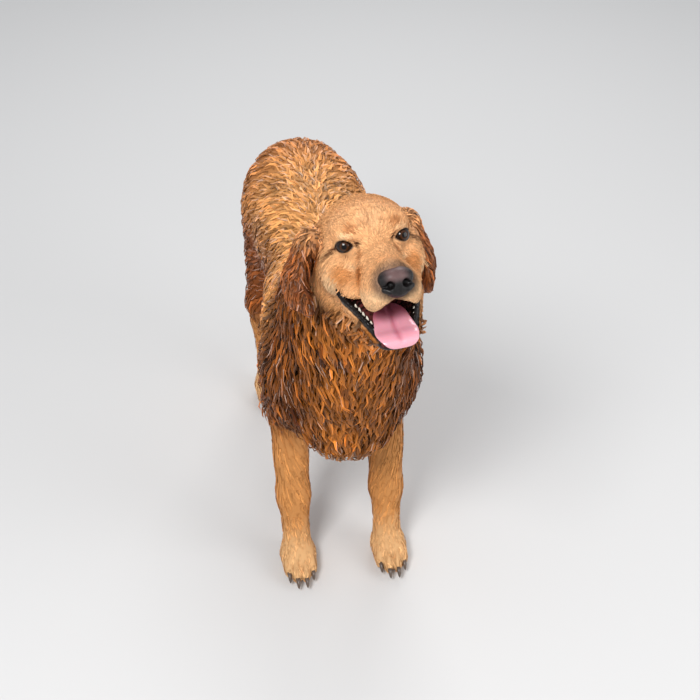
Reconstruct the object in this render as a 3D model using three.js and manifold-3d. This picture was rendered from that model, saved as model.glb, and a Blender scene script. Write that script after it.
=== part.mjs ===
// A life-size golden retriever standing with its head raised and its mouth open, in millimetres.
// +X is the dog's left, -Y the way it faces, +Z up. The origin is on the floor under the middle of its box.
//
// The outline of the coat is one implicit surface: round limbs and ellipsoids melted together, where a
// field is a function of a point that is negative inside. Each sub-part is a polygonised stretch of that
// surface, parted from its neighbours by thin cuts. The eyes, nose, tongue, ears and claws are solids of
// their own, let into the flesh around them.
import * as THREE from 'three';
import { mergeVertices } from 'three/addons/utils/BufferGeometryUtils.js';
import Module from 'manifold-3d';

const wasm = await Module();
wasm.setup();

// ---------------------------------------------------------------- driving dimensions
const WITHERS = 590; // floor to the top of the coat over the shoulders
const CHEST_WIDTH = 252; // across the ribs, coat included
const STANCE_FRONT = 80; // from the middle to each front paw
const STANCE_HIND = 76; // from the middle to each hind paw
const HEAD_AT = new THREE.Vector3(10, -176, 756); // middle of the skull
const HEAD_TURN = { yaw: 2.9, pitch: -20.5, roll: -4.9 }; // degrees; the muzzle points up a little
const EYE_RADIUS = 12.5;
const GAP = 0.4; // what a cut takes away between two sub-parts

// How finely each stretch is polygonised, across, along and up.
const CELL = {
  trunk: new THREE.Vector3(40, 58, 40),
  neck: new THREE.Vector3(34, 34, 34),
  upperLeg: new THREE.Vector3(26, 34, 46),
  leg: new THREE.Vector3(20, 24, 46),
  paw: new THREE.Vector3(16, 19, 19),
  tail: new THREE.Vector3(24, 24, 46),
  head: new THREE.Vector3(12.5, 12.5, 12.5),
  ear: new THREE.Vector3(12, 18, 20),
  nose: new THREE.Vector3(8, 8, 8),
};

const SIDES = [
  { name: 'left', s: 1 },
  { name: 'right', s: -1 },
];

const v = (x, y, z) => new THREE.Vector3(x, y, z);

// ---------------------------------------------------------------- fields
// An ellipsoid, turned by degrees about X, Y and Z.
function ball(centre, radii, turn = [0, 0, 0]) {
  const angles = turn.map(THREE.MathUtils.degToRad);
  const quaternion = new THREE.Quaternion().setFromEuler(new THREE.Euler(...angles));
  const inverse = new THREE.Matrix4().compose(centre, quaternion, v(1, 1, 1)).invert();
  const q = v(0, 0, 0);
  return (p) => {
    q.copy(p).applyMatrix4(inverse).divide(radii);
    const share = q.length();
    const slope = q.divide(radii).length();
    return slope < 1e-9 ? -Math.min(radii.x, radii.y, radii.z) : (share * (share - 1)) / slope;
  };
}

// A round limb from one point to another, with a radius at each.
function limb(a, b, radiusA, radiusB) {
  const along = b.clone().sub(a);
  const q = v(0, 0, 0);
  return (p) => {
    const share = THREE.MathUtils.clamp(q.copy(p).sub(a).dot(along) / along.lengthSq(), 0, 1);
    q.copy(along).multiplyScalar(share).add(a);
    return q.distanceTo(p) - THREE.MathUtils.lerp(radiusA, radiusB, share);
  };
}

const meltTwo = (a, b, k) => Math.min(a, b) - Math.max(k - Math.abs(a - b), 0) ** 2 / (4 * k);

// Shapes melted together, with a fillet about k wide.
const melt = (k, ...shapes) => (p) => shapes.reduce((sum, f) => meltTwo(sum, f(p), k), 1e4);

// A shape with a tool taken out of it, with its edge rounded over about k.
const carve = (k, shape, tool) => (p) => -meltTwo(-shape(p), tool(p), k);

const grown = (field, by) => (p) => field(p) - by;

// A field given in another frame.
function placed(field, matrix) {
  const inverse = matrix.clone().invert();
  const q = v(0, 0, 0);
  return (p) => field(q.copy(p).applyMatrix4(inverse));
}

// ---------------------------------------------------------------- from fields to solids
// A field's surface inside a box, as a closed geometry of quads: one vertex in each cell that the surface
// crosses, moved onto the surface, and one quad round each grid edge that it crosses.
function polygonise(field, low, high, cell) {
  const size = high.clone().sub(low).divide(cell).ceil().addScalar(3);
  const [nx, ny, nz] = size.toArray();
  const at = (i, j, k) => i + nx * (j + ny * k);
  const point = (i, j, k) => v(i - 1, j - 1, k - 1).multiply(cell).add(low);
  const onEdge = (i, n) => i === 0 || i === n - 1;
  const value = new Float32Array(nx * ny * nz);
  for (let k = 0; k < nz; k++)
    for (let j = 0; j < ny; j++)
      for (let i = 0; i < nx; i++) {
        const outside = onEdge(i, nx) || onEdge(j, ny) || onEdge(k, nz);
        value[at(i, j, k)] = outside ? cell.x : field(point(i, j, k));
      }

  const corners = [];
  for (let c = 0; c < 8; c++) corners.push([c & 1, (c >> 1) & 1, c >> 2]);
  const edges = [];
  for (let a = 0; a < 8; a++)
    for (const bit of [1, 2, 4]) if (!(a & bit)) edges.push([a, a | bit]);

  // One vertex for each group of joined corners inside the field, so that surfaces that pass through the
  // same cell stay apart.
  const positions = [];
  const vertexOf = new Map();
  for (let k = 0; k < nz - 1; k++)
    for (let j = 0; j < ny - 1; j++)
      for (let i = 0; i < nx - 1; i++) {
        const values = corners.map(([a, b, c]) => value[at(i + a, j + b, k + c)]);
        const crossings = edges.filter(([a, b]) => values[a] < 0 !== values[b] < 0);
        if (!crossings.length) continue;
        const inBox = Math.min(i, j, k) > 0 && i < nx - 2 && j < ny - 2 && k < nz - 2;
        const group = values.map((_, c) => c);
        for (let turn = 0; turn < 3; turn++)
          for (const [a, b] of edges)
            if (values[a] < 0 && values[b] < 0) group[a] = group[b] = Math.min(group[a], group[b]);
        const vertices = new Map();
        for (const g of new Set(group)) {
          const own = crossings.filter((edge) => group[edge.find((c) => values[c] < 0)] === g);
          if (!own.length) continue;
          const mean = v(0, 0, 0);
          for (const [a, b] of own)
            mean.add(v(...corners[a]).lerp(v(...corners[b]), values[a] / (values[a] - values[b])));
          mean.divideScalar(own.length).add(v(i - 1, j - 1, k - 1)).multiply(cell).add(low);
          vertices.set(g, positions.length / 3);
          positions.push(...(inBox ? settle(field, mean, cell.x) : mean).toArray());
        }
        vertexOf.set(at(i, j, k), (corner) => vertices.get(group[corner]));
      }

  const index = [];
  const steps = [[1, 0, 0], [0, 1, 0], [0, 0, 1]];
  const bit = (axis, reached) => (reached ? 1 << axis : 0);
  for (let k = 0; k < nz - 1; k++)
    for (let j = 0; j < ny - 1; j++)
      for (let i = 0; i < nx - 1; i++)
        steps.forEach((step, axis) => {
          const here = value[at(i, j, k)];
          const next = value[at(i + step[0], j + step[1], k + step[2])];
          if (here < 0 === next < 0) return;
          const [across, along] = [(axis + 1) % 3, (axis + 2) % 3];
          const [u, w] = [steps[across], steps[along]];
          const around = [[0, 0], [1, 0], [1, 1], [0, 1]].map(([a, b]) => {
            const vertex = vertexOf.get(at(...[i, j, k].map((n, m) => n - a * u[m] - b * w[m])));
            return vertex(bit(axis, here >= 0) + bit(across, a) + bit(along, b));
          });
          const [a, b, c, d] = here < 0 ? around : around.reverse();
          const corner = (n) => v(...positions.slice(3 * n, 3 * n + 3));
          const shortFirst = corner(a).distanceTo(corner(c)) < corner(b).distanceTo(corner(d));
          index.push(...(shortFirst ? [a, b, c, a, c, d] : [b, c, d, b, d, a]));
        });

  const geometry = new THREE.BufferGeometry();
  geometry.setAttribute('position', new THREE.Float32BufferAttribute(positions, 3));
  geometry.setIndex(index);
  return geometry;
}

// Moves a point towards a field's surface, by a part of a cell at most.
function settle(field, start, cell) {
  const p = start.clone();
  const reach = cell * 0.02;
  for (let turn = 0; turn < 3; turn++) {
    const here = field(p);
    const slope = v(
      field(v(p.x + reach, p.y, p.z)) - here,
      field(v(p.x, p.y + reach, p.z)) - here,
      field(v(p.x, p.y, p.z + reach)) - here,
    ).divideScalar(reach);
    p.addScaledVector(slope, -here / Math.max(slope.lengthSq(), 0.3));
  }
  return start.clone().add(p.sub(start).clampLength(0, cell * 0.28));
}

function asSolid(geometry) {
  const bare = new THREE.BufferGeometry();
  const source = geometry.index ? geometry.toNonIndexed() : geometry;
  bare.setAttribute('position', source.getAttribute('position'));
  const merged = mergeVertices(bare, 1e-3);
  return new wasm.Manifold(new wasm.Mesh({
    numProp: 3,
    vertProperties: new Float32Array(merged.attributes.position.array),
    triVerts: new Uint32Array(merged.index.array),
  }));
}

function asGeometry(solid) {
  const { numProp, vertProperties, triVerts } = solid.getMesh();
  const geometry = new THREE.BufferGeometry();
  const places = new THREE.InterleavedBuffer(new Float32Array(vertProperties), numProp);
  geometry.setAttribute('position', new THREE.InterleavedBufferAttribute(places, 3, 0));
  geometry.setIndex(new THREE.BufferAttribute(new Uint32Array(triVerts), 1));
  const flat = geometry.toNonIndexed();
  flat.computeVertexNormals();
  return flat;
}

// The largest body of a solid: a cut can leave a crumb beside it.
function mainBody(solid) {
  return solid.decompose().sort((a, b) => b.volume() - a.volume())[0];
}

// Whether every edge of an indexed geometry is shared by exactly two of its faces.
function isClean(geometry) {
  const index = geometry.index.array;
  const uses = new Map();
  for (let i = 0; i < index.length; i++) {
    const [a, b] = [index[i], index[i % 3 === 2 ? i - 2 : i + 1]];
    const edge = `${Math.min(a, b)} ${Math.max(a, b)}`;
    uses.set(edge, (uses.get(edge) ?? 0) + 1);
  }
  return [...uses.values()].every((n) => n === 2);
}

// A field's solid. Where the lattice meets a saddle awkwardly, four faces share an edge: the lattice is
// then moved by a part of a cell and the field is polygonised again.
function solidOf(field, low, high, cell) {
  const tries = 12;
  for (let turn = 0; turn < tries; turn++) {
    const start = low.clone().addScaledVector(cell, -turn / tries);
    const geometry = polygonise(field, start, high, cell);
    if (isClean(geometry)) return asSolid(geometry);
  }
  throw new Error(`no clean lattice from ${low.toArray()}`);
}

function block(low, high) {
  const size = high.clone().sub(low);
  const box = new THREE.BoxGeometry(...size.toArray());
  return asSolid(box.translate(...low.clone().add(high).divideScalar(2).toArray()));
}

// Everything on the far side of a plane, and half a cut more.
function beyond(point, normal) {
  const reach = 3000;
  const box = new THREE.BoxGeometry(reach, reach, reach).translate(0, 0, reach / 2 - GAP / 2);
  const turn = new THREE.Quaternion().setFromUnitVectors(v(0, 0, 1), normal.clone().normalize());
  return asSolid(box.applyQuaternion(turn).translate(...point.toArray()));
}

const plane = (point, normal) => ({ point, normal: normal.clone().normalize() });
const before = (solid, cut) => solid.subtract(beyond(cut.point, cut.normal));
const after = (solid, cut) => solid.subtract(beyond(cut.point, cut.normal.clone().negate()));

// ---------------------------------------------------------------- head, in its own frame
// The middle of the skull is the origin. The muzzle points to -Y.
const EYE = v(37.5, -52, 10.5);
const NOSE = v(2.5, -158, -20);
const MOUTH_CORNER = v(62, -53, -47);
const CHIN = v(0, -136, -98);

// The line of the upper lip and of the lower lip, seen from the side, and the vault between them.
const upperLip = (y) => {
  const along = Math.min((MOUTH_CORNER.y - y) / 70, 1);
  return MOUTH_CORNER.z - 16.5 * Math.sin((Math.PI / 2) * along);
};
const lowerLip = (y) => MOUTH_CORNER.z - 0.66 * (MOUTH_CORNER.y - y);
const vault = (x, halfWidth) => Math.max(0, 1 - (x / halfWidth) ** 2);

function mouthCavity(p) {
  const roof = p.z - upperLip(p.y) - 13 * vault(p.x, 27);
  const bed = lowerLip(p.y) - p.z - 9 * vault(p.x, 25);
  return Math.max(roof, bed, p.y - MOUTH_CORNER.y) * 0.85;
}

function headField() {
  const skull = [
    ball(v(0, 6, 4), v(66, 78, 57)),
    ball(v(0, -34, 28), v(50, 40, 29)), // forehead
  ];
  const muzzle = melt(
    14,
    limb(v(0, -58, -18), v(0, -138, -19), 35, 23),
    limb(v(0, -62, -2), v(0, -150, -7), 15, 12), // bridge of the nose
  );
  const throat = limb(v(0, -22, -58), v(0, 22, -92), 46, 62);
  const jaw = melt(
    14,
    limb(v(0, -40, -66), v(0, -120, -108), 33, 16),
    ball(v(0, -128, -110), v(18, 18, 13), [15, 0, 0]), // chin
  );
  const pairs = SIDES.flatMap(({ s }) => [
    ball(v(s * 43, -14, -28), v(31, 44, 42)), // cheek
    ball(v(s * 27, -49, 27), v(21, 19, 15), [0, 0, s * 20]), // brow
    ball(v(s * 21, -112, -42), v(17, 40, 28), [-3, 0, s * 8]), // flew, the hanging upper lip
    ball(v(s * 17, -139, -37), v(16, 19, 23)), // whisker pad
    ball(v(s * 37, -60, -48), v(19, 27, 20)), // corner of the mouth
    limb(v(s * 42, -60, -68), v(s * 17, -127, -110), 14, 13), // edge of the jaw
  ]);
  const whole = melt(16, ...skull, muzzle, jaw, throat, ...pairs);
  const mouthed = carve(5, whole, mouthCavity);
  return SIDES.reduce((shape, { s }) => {
    const socket = ball(v(s * (EYE.x + 1), EYE.y - 13, EYE.z), v(17, 10, 11), [0, 0, s * 18]);
    return carve(7, shape, socket);
  }, mouthed);
}

// A hanging ear: a thick leather flap with its long coat, narrow at the root and full near its end. The
// head leans a little, so the right ear swings clear of the cheek and the left one lies against it.
const EAR_SWING = { 1: [-6, -10, -22, -17], [-1]: [5, 10, 17, 9] };
function earField(s) {
  const out = (x, part) => s * (x + EAR_SWING[s][part]);
  return melt(
    16,
    ball(v(out(65, 0), 10, 9), v(18, 32, 22), [0, s * 30, 0]),
    ball(v(out(84, 1), 16, -22), v(15, 35, 46), [0, s * -16, 0]),
    ball(v(out(93, 2), 8, -48), v(12, 32, 28), [30, 0, 0]),
    ball(v(out(88, 3), -20, -62), v(10, 22, 22), [34, 0, 0]),
  );
}

const noseField = () => {
  const leather = melt(
    8,
    ball(v(NOSE.x, NOSE.y, NOSE.z + 3), v(23, 16, 14)),
    ball(v(NOSE.x, NOSE.y - 4, NOSE.z - 7), v(18, 13, 15)),
  );
  return SIDES.reduce(
    (shape, { s }) => carve(3, shape, ball(v(NOSE.x + s * 10.5, NOSE.y - 15, NOSE.z - 3), v(5, 9, 5))),
    leather,
  );
};

// ---------------------------------------------------------------- body
const TOES = [[-24, -34], [-9, -50], [9, -50], [24, -34]]; // across and forward of the middle of a paw
const TOE_HEIGHT = 19;

function pawField(centre) {
  const pad = ball(v(centre.x, centre.y, 22), v(35, 44, 29));
  const toes = TOES.map(([x, y]) => ball(v(centre.x + x * 0.85, centre.y + y + 6, TOE_HEIGHT), v(12, 24, 20)));
  return melt(7, pad, ...toes);
}

const FRONT = {
  shoulder: (s) => v(s * 70, -28, 430),
  elbow: (s) => v(s * 82, 44, 300),
  wrist: (s) => v(s * 81, 14, 128),
  pastern: (s) => v(s * STANCE_FRONT, -4, 58),
  paw: (s) => v(s * STANCE_FRONT, -24, 0),
};
const HIND = {
  hip: (s) => v(s * 56, 412, 446),
  knee: (s) => v(s * 78, 350, 300),
  hock: (s) => v(s * 78, 494, 158),
  pastern: (s) => v(s * STANCE_HIND, 480, 56),
  paw: (s) => v(s * STANCE_HIND, 456, 0),
};

const frontLegField = (s) => melt(
  22,
  limb(FRONT.shoulder(s), FRONT.elbow(s), 54, 42),
  limb(FRONT.elbow(s), FRONT.wrist(s), 41, 29),
  limb(FRONT.wrist(s), FRONT.pastern(s), 29, 27),
  ball(v(s * 82, 62, 232), v(18, 34, 100), [12, 0, 0]), // feather behind the forearm
  pawField(FRONT.paw(s)),
);

const hindLegField = (s) => melt(
  24,
  ball(v(s * 66, 404, 392), v(48, 92, 128), [-14, 0, 0]), // thigh
  limb(HIND.hip(s), HIND.knee(s), 62, 50),
  limb(HIND.knee(s), HIND.hock(s), 47, 26),
  limb(HIND.hock(s), HIND.pastern(s), 27, 25),
  ball(v(s * 66, 476, 338), v(30, 44, 88), [22, 0, 0]), // breeches
  pawField(HIND.paw(s)),
);

const TAIL = [
  { at: v(0, 470, 500), r: 44 },
  { at: v(0, 526, 482), r: 34 },
  { at: v(-2, 570, 428), r: 29 },
  { at: v(-4, 592, 350), r: 32 },
  { at: v(-6, 600, 260), r: 32 },
  { at: v(-8, 596, 170), r: 13 },
];

const tailField = () => melt(
  20,
  ...TAIL.slice(1).map((end, i) => limb(TAIL[i].at, end.at, TAIL[i].r, end.r)),
);

function bodyField() {
  const trunk = [
    ball(v(0, 96, 428), v(CHEST_WIDTH / 2 - 6, 205, 148)), // ribs
    ball(v(0, 16, WITHERS - 96), v(78, 130, 92)), // withers
    ball(v(0, -64, 400), v(94, 84, 118)), // breast
    ball(v(-6, 318, 463), v(104, 170, 103)), // loin
    ball(v(0, 250, 386), v(86, 160, 92)), // belly
    ball(v(-9, 444, 478), v(103, 92, 100)), // croup
  ];
  const shoulders = SIDES.map(({ s }) => ball(v(s * 70, -8, 430), v(52, 84, 132), [14, 0, 0]));
  const legs = SIDES.flatMap(({ s }) => [frontLegField(s), hindLegField(s)]);
  const neck = [
    limb(v(0, 20, 492), v(0, -74, 590), 112, 98),
    limb(v(0, -74, 590), v(6, -132, 690), 98, 82),
    limb(v(0, -92, 480), v(9, -134, 606), 92, 86), // ruff down the throat
  ];
  return melt(40, ...trunk, ...shoulders, ...neck, ...legs, tailField());
}

// ---------------------------------------------------------------- the whole outline
const turned = new THREE.Euler(
  ...[HEAD_TURN.pitch, HEAD_TURN.roll, HEAD_TURN.yaw].map(THREE.MathUtils.degToRad), 'ZXY');
const headFrame = new THREE.Matrix4().compose(HEAD_AT, new THREE.Quaternion().setFromEuler(turned), v(1, 1, 1));
const onHead = (p) => p.clone().applyMatrix4(headFrame);
const alongHead = (d) => d.clone().transformDirection(headFrame);

const head = placed(headField(), headFrame);
const body = bodyField();
// The neck and the skull melt together behind the mouth and nowhere near it.
const coat = (p) => meltTwo(head(p), body(p), 26);

// ---------------------------------------------------------------- where the cuts go
const CUT = {
  neckHead: plane(onHead(v(0, 46, -34)), alongHead(v(0, -0.83, 0.56))),
  neckChest: plane(v(0, -70, 520), v(0, -0.76, 0.65)),
  chestLoin: plane(v(0, 236, 0), v(0, 1, 0)),
  loinRump: plane(v(0, 352, 0), v(0, 1, 0)),
  rumpTail: plane(v(0, 522, 500), v(0, 0.88, -0.3)),
  tailMiddle: plane(v(0, 600, 320), v(0, 0, -1)),
};
const LEG_CUTS = {
  front: { joints: [252, 92], near: -150, far: 128, inner: (s) => plane(v(s * 42, 0, 258), v(s * 0.855, 0, -0.52)) },
  hind: { joints: [262, 88], near: 270, far: 556, inner: (s) => plane(v(s * 20, 0, 300), v(s * 0.9, 0, -0.43)) },
};
const FLOOR = plane(v(0, 0, -GAP / 2), v(0, 0, 1));

// The stretch of space that a leg takes up.
function legZone({ near, far, inner }, s) {
  const [inside, outside] = s > 0 ? [GAP / 2, 300] : [-300, -GAP / 2];
  return after(block(v(inside, near, -50), v(outside, far, 520)), inner(s));
}

// The same, wider by a cut, to take out of the trunk.
function legRoom(cuts, s) {
  const { point, normal } = cuts.inner(s);
  const inner = () => plane(point.clone().addScaledVector(normal, -GAP), normal);
  return legZone({ ...cuts, near: cuts.near - GAP, far: cuts.far + GAP, inner }, s);
}

// ---------------------------------------------------------------- sub-parts
const parts = [];
const add = (name, finish, solid) => {
  const body = asGeometry(mainBody(solid));
  parts.push({ name, finish, body: asGeometry(mainBody(asSolid(body))) });
};

function addTrunk() {
  const rooms = SIDES.flatMap(({ s }) => [legRoom(LEG_CUTS.front, s), legRoom(LEG_CUTS.hind, s)]);
  const outline = solidOf(coat, v(-170, -200, 150), v(170, 640, 640), CELL.trunk);
  const trunk = rooms.reduce((rest, room) => rest.subtract(room), outline);
  add('chest', 'coat', before(before(trunk, CUT.neckChest), CUT.chestLoin));
  add('loin', 'coat', before(after(trunk, CUT.chestLoin), CUT.loinRump));
  add('rump', 'coat', before(after(trunk, CUT.loinRump), CUT.rumpTail));
}

function addNeck() {
  const outline = solidOf(coat, v(-150, -290, 380), v(150, 60, 800), CELL.neck);
  add('neck', 'coat', before(after(outline, CUT.neckChest), CUT.neckHead));
}

function addTail() {
  const outline = after(solidOf(tailField(), v(-60, 440, 120), v(60, 680, 580), CELL.tail), CUT.rumpTail);
  add('tail_upper', 'feather', before(outline, CUT.tailMiddle));
  add('tail_lower', 'feather', after(outline, CUT.tailMiddle));
}

function addLeg(kind, side, s, names) {
  const cuts = LEG_CUTS[kind];
  const zone = legZone(cuts, s);
  const [knee, ankle] = cuts.joints.map((z) => plane(v(0, 0, z), v(0, 0, -1)));
  const [low, high] = s > 0 ? [0, 180] : [-180, 0];
  const stretch = (bottom, top, cell) =>
    solidOf(coat, v(low - 4, cuts.near - 4, bottom), v(high + 4, cuts.far + 4, top), cell).intersect(zone);
  add(`${names[0]}_${side}`, 'coat', before(stretch(200, 530, CELL.upperLeg), knee));
  add(`${names[1]}_${side}`, 'coat', before(after(stretch(60, 320, CELL.leg), knee), ankle));

  const { x, y } = (kind === 'front' ? FRONT : HIND).paw(s);
  let paw = after(after(stretch(-20, 130, CELL.paw), ankle), FLOOR);
  TOES.forEach(([across, forward], i) => {
    const at = v(x + across * 0.85, y + forward - 19, TOE_HEIGHT - 4);
    paw = paw.subtract(claw(at, GAP));
    add(`claw_${kind}_${side}_${i + 1}`, 'claw', claw(at, 0));
  });
  add(`paw_${kind}_${side}`, 'coat', paw);
}

// A claw: a short cone let into the toe, pointing forward and down.
function claw(at, grow) {
  const cone = new THREE.ConeGeometry(4.4 + grow, 21 + 4 * grow, 7);
  cone.rotateX(THREE.MathUtils.degToRad(180 - 66));
  return asSolid(cone.translate(at.x, at.y, at.z));
}

// A tongue: a flattened ball bent along a line out of the mouth and down over the lower lip.
function tongue(grow) {
  const line = new THREE.CatmullRomCurve3([
    v(0, -72, -73), v(-1, -104, -84), v(-2, -130, -94), v(-2, -147, -98), v(-1, -154, -103), v(0, -154, -111),
  ]);
  const geometry = new THREE.SphereGeometry(1, 10, 15);
  const places = geometry.getAttribute('position');
  const p = v(0, 0, 0);
  for (let i = 0; i < places.count; i++) {
    p.fromBufferAttribute(places, i);
    const share = (1 - p.y) / 2;
    const forward = line.getTangentAt(share);
    const over = v(0, forward.z, -forward.y).normalize();
    const round = Math.sqrt(Math.max(1 - p.y * p.y, 1e-9));
    const full = Math.pow(round, -0.45); // fuller towards both ends than a ball
    const width = (25 + 6.5 * THREE.MathUtils.smoothstep(share, 0.35, 0.85) + grow) * full;
    const cup = 3.5 * p.x * p.x * share;
    const lift = p.z * (5.5 - 1.5 * share + grow) * Math.min(full, 2) + cup;
    const centre = line.getPointAt(share);
    const end = centre.addScaledVector(forward, -grow * p.y);
    places.setXYZ(i, ...end.addScaledVector(over, lift).add(v(p.x * width, 0, 0)).toArray());
  }
  return asSolid(geometry.applyMatrix4(headFrame));
}

const eyeball = (s, radius) => {
  const sphere = new THREE.SphereGeometry(radius, 10, 8).translate(s * EYE.x, EYE.y, EYE.z);
  return asSolid(sphere.applyMatrix4(headFrame));
};

// One lower tooth: a small cone standing on the edge of the jaw.
function tooth(s, x, y, height) {
  const cone = new THREE.ConeGeometry(3, height, 6).rotateX(Math.PI / 2);
  const at = v(s * x, y, lowerLip(y) - 3 + height / 2 - 3);
  return asSolid(cone.translate(...at.toArray()).applyMatrix4(headFrame));
}

function addHead() {
  const low = HEAD_AT.clone().addScalar(-230);
  const high = HEAD_AT.clone().addScalar(200);
  const outline = before(solidOf(coat, low, high, CELL.head), {
    point: CUT.neckHead.point,
    normal: CUT.neckHead.normal.clone().negate(),
  });

  const noseIn = (grow) => {
    const around = (x, y, z) => onHead(NOSE.clone().add(v(x, y, z)));
    const box = new THREE.Box3().setFromPoints([around(-45, -45, -45), around(45, 45, 45)]).expandByScalar(20);
    return solidOf(placed(grown(noseField(), grow), headFrame), box.min, box.max, CELL.nose);
  };
  const tools = [noseIn(3 * GAP), tongue(GAP), ...SIDES.map(({ s }) => eyeball(s, EYE_RADIUS + GAP))];
  const flesh = tools.reduce((rest, tool) => rest.subtract(tool), outline);

  // The jaw is what lies before the corner of the mouth and under its middle line.
  const middle = (y) => (upperLip(y) + lowerLip(y)) / 2;
  const slope = (middle(-150) - middle(-75)) / 75;
  const lid = plane(onHead(v(0, -72, middle(-75))), alongHead(v(0, -slope, -1)));
  const back = plane(onHead(v(0, -66, -56)), alongHead(v(0, -0.93, -0.36)));
  const jaw = after(after(flesh, lid), back);
  const room = after(after(block(low, high), { ...lid, point: nudged(lid) }), { ...back, point: nudged(back) });
  const teeth = SIDES.flatMap(({ s }) => [
    tooth(s, 37, -84, 8), tooth(s, 34, -92, 8), tooth(s, 31, -100, 7),
  ]);
  const toothed = teeth.reduce((sum, one) => sum.add(one), jaw);
  add('jaw', 'coat', toothed.subtract(tongue(GAP)));
  add('head', 'coat', flesh.subtract(room));
  add('nose', 'nose', noseIn(0));
  add('tongue', 'tongue', tongue(0));
  for (const { name, s } of SIDES) {
    add(`eye_${name}`, 'eye', eyeball(s, EYE_RADIUS));
    addEar(name, s);
  }
}

const nudged = ({ point, normal }) => point.clone().addScaledVector(normal, -GAP);

function addEar(name, s) {
  const middle = onHead(v(s * 78, 8, -20));
  const reach = v(70, 80, 110);
  const [low, high] = [middle.clone().sub(reach), middle.clone().add(reach)];
  const ear = solidOf(placed(earField(s), headFrame), low, high, CELL.ear);
  const near = solidOf(grown(coat, 2.4), low, high, CELL.ear);
  add(`ear_${name}`, 'ear', ear.subtract(near));
}

addTrunk();
addNeck();
addTail();
for (const { name, s } of SIDES) {
  addLeg('front', name, s, ['upper_arm', 'forearm']);
  addLeg('hind', name, s, ['thigh', 'shank']);
}
addHead();

// ---------------------------------------------------------------- finishes and the scene graph
const material = (color, roughness) => new THREE.MeshStandardMaterial({ color, roughness, metalness: 0 });
const FINISHES = {
  coat: material('#b8752f', 0.75),
  feather: material('#c48a46', 0.75),
  ear: material('#8a4a1f', 0.7),
  nose: material('#1c1819', 0.4),
  tongue: material('#d77f92', 0.4),
  eye: material('#23140c', 0.1),
  claw: material('#3a302a', 0.5),
};

const dog = new THREE.Group();
for (const { name, finish, body } of parts) {
  const mesh = new THREE.Mesh(body, FINISHES[finish]);
  mesh.name = name;
  dog.add(mesh);
}
const box = new THREE.Box3().setFromObject(dog);
const middle = box.getCenter(v(0, 0, 0));
dog.position.set(-middle.x, -middle.y, -box.min.z);

export default dog;
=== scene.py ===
# %% [markdown]
# # A golden retriever, damp from its bath
# The dog stands life-size with its head raised, its mouth open in a pant and its coat wet enough to lie in
# pointed locks. The measured model gives the frame: where every part is and how big it is. This script makes
# the looks around it: one skin without seams, the wet parts of the face, and a coat of solid locks of fur.

# %% The frame
import math

import bpy
import numpy as np
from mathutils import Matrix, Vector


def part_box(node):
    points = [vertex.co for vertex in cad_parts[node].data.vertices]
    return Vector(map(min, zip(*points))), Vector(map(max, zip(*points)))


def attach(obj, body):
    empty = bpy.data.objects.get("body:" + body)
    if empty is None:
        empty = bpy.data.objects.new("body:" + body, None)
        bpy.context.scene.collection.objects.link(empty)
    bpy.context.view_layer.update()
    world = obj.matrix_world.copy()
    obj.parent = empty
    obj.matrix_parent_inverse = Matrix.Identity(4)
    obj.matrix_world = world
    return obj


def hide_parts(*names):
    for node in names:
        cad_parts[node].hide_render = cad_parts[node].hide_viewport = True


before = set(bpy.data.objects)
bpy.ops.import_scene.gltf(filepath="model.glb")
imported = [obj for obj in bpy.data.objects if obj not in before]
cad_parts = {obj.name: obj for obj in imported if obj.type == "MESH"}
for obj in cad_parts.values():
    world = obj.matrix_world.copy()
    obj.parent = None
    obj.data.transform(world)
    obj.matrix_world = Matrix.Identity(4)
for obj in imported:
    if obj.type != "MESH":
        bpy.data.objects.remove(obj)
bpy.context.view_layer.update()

import openvdb
from mathutils import Matrix, Vector
from mathutils.bvhtree import BVHTree

scene = bpy.context.scene

# %% [markdown]
# ## Shapes as fields
# A living body has no flat faces and no straight edges, so it is easier to describe as a *field*: a function
# that tells how far a point is from the surface, and is negative inside. Round limbs and ellipsoids melt
# into each other when the smaller of two such distances is taken with a rounded corner. The measured solids
# were made in the same way, with the same sizes, so the skin that is made here lies exactly inside them.
# Lengths are in millimetres until a mesh is made.

# %% Fields: balls, limbs, and how they melt and are carved
FAR = 1e4
REACH = 34.0  # how far from a shape its field still has to be right


class Field:
    """A shape as a function of points, negative inside, with the box that holds it."""

    def __init__(self, value, low, high):
        self.value, self.low, self.high = value, np.array(low, float), np.array(high, float)

    def __call__(self, points):
        return self.value(points)


def ball(centre, radii, turn=(0, 0, 0)):
    centre, radii = np.array(centre, float), np.array(radii, float)
    x, y, z = (Matrix.Rotation(math.radians(a), 3, axis) for a, axis in zip(turn, "XYZ"))
    rotation = np.array(x @ y @ z)
    extent = np.sqrt(((rotation * radii) ** 2).sum(axis=1))

    def value(points):
        q = (points - centre) @ rotation / radii
        share = np.sqrt((q * q).sum(axis=1))
        slope = np.sqrt(((q / radii) ** 2).sum(axis=1))
        return np.where(slope < 1e-9, -radii.min(), share * (share - 1) / np.maximum(slope, 1e-9))

    return Field(value, centre - extent, centre + extent)


def limb(a, b, radius_a, radius_b):
    a, b = np.array(a, float), np.array(b, float)
    along = b - a

    def value(points):
        share = np.clip((points - a) @ along / (along @ along), 0, 1)
        nearest = a + share[:, None] * along
        return np.linalg.norm(points - nearest, axis=1) - (radius_a + share * (radius_b - radius_a))

    low = np.minimum(a - radius_a, b - radius_b)
    return Field(value, low, np.maximum(a + radius_a, b + radius_b))


def smooth_min(a, b, width):
    return np.minimum(a, b) - np.maximum(width - np.abs(a - b), 0) ** 2 / (4 * width)


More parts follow.
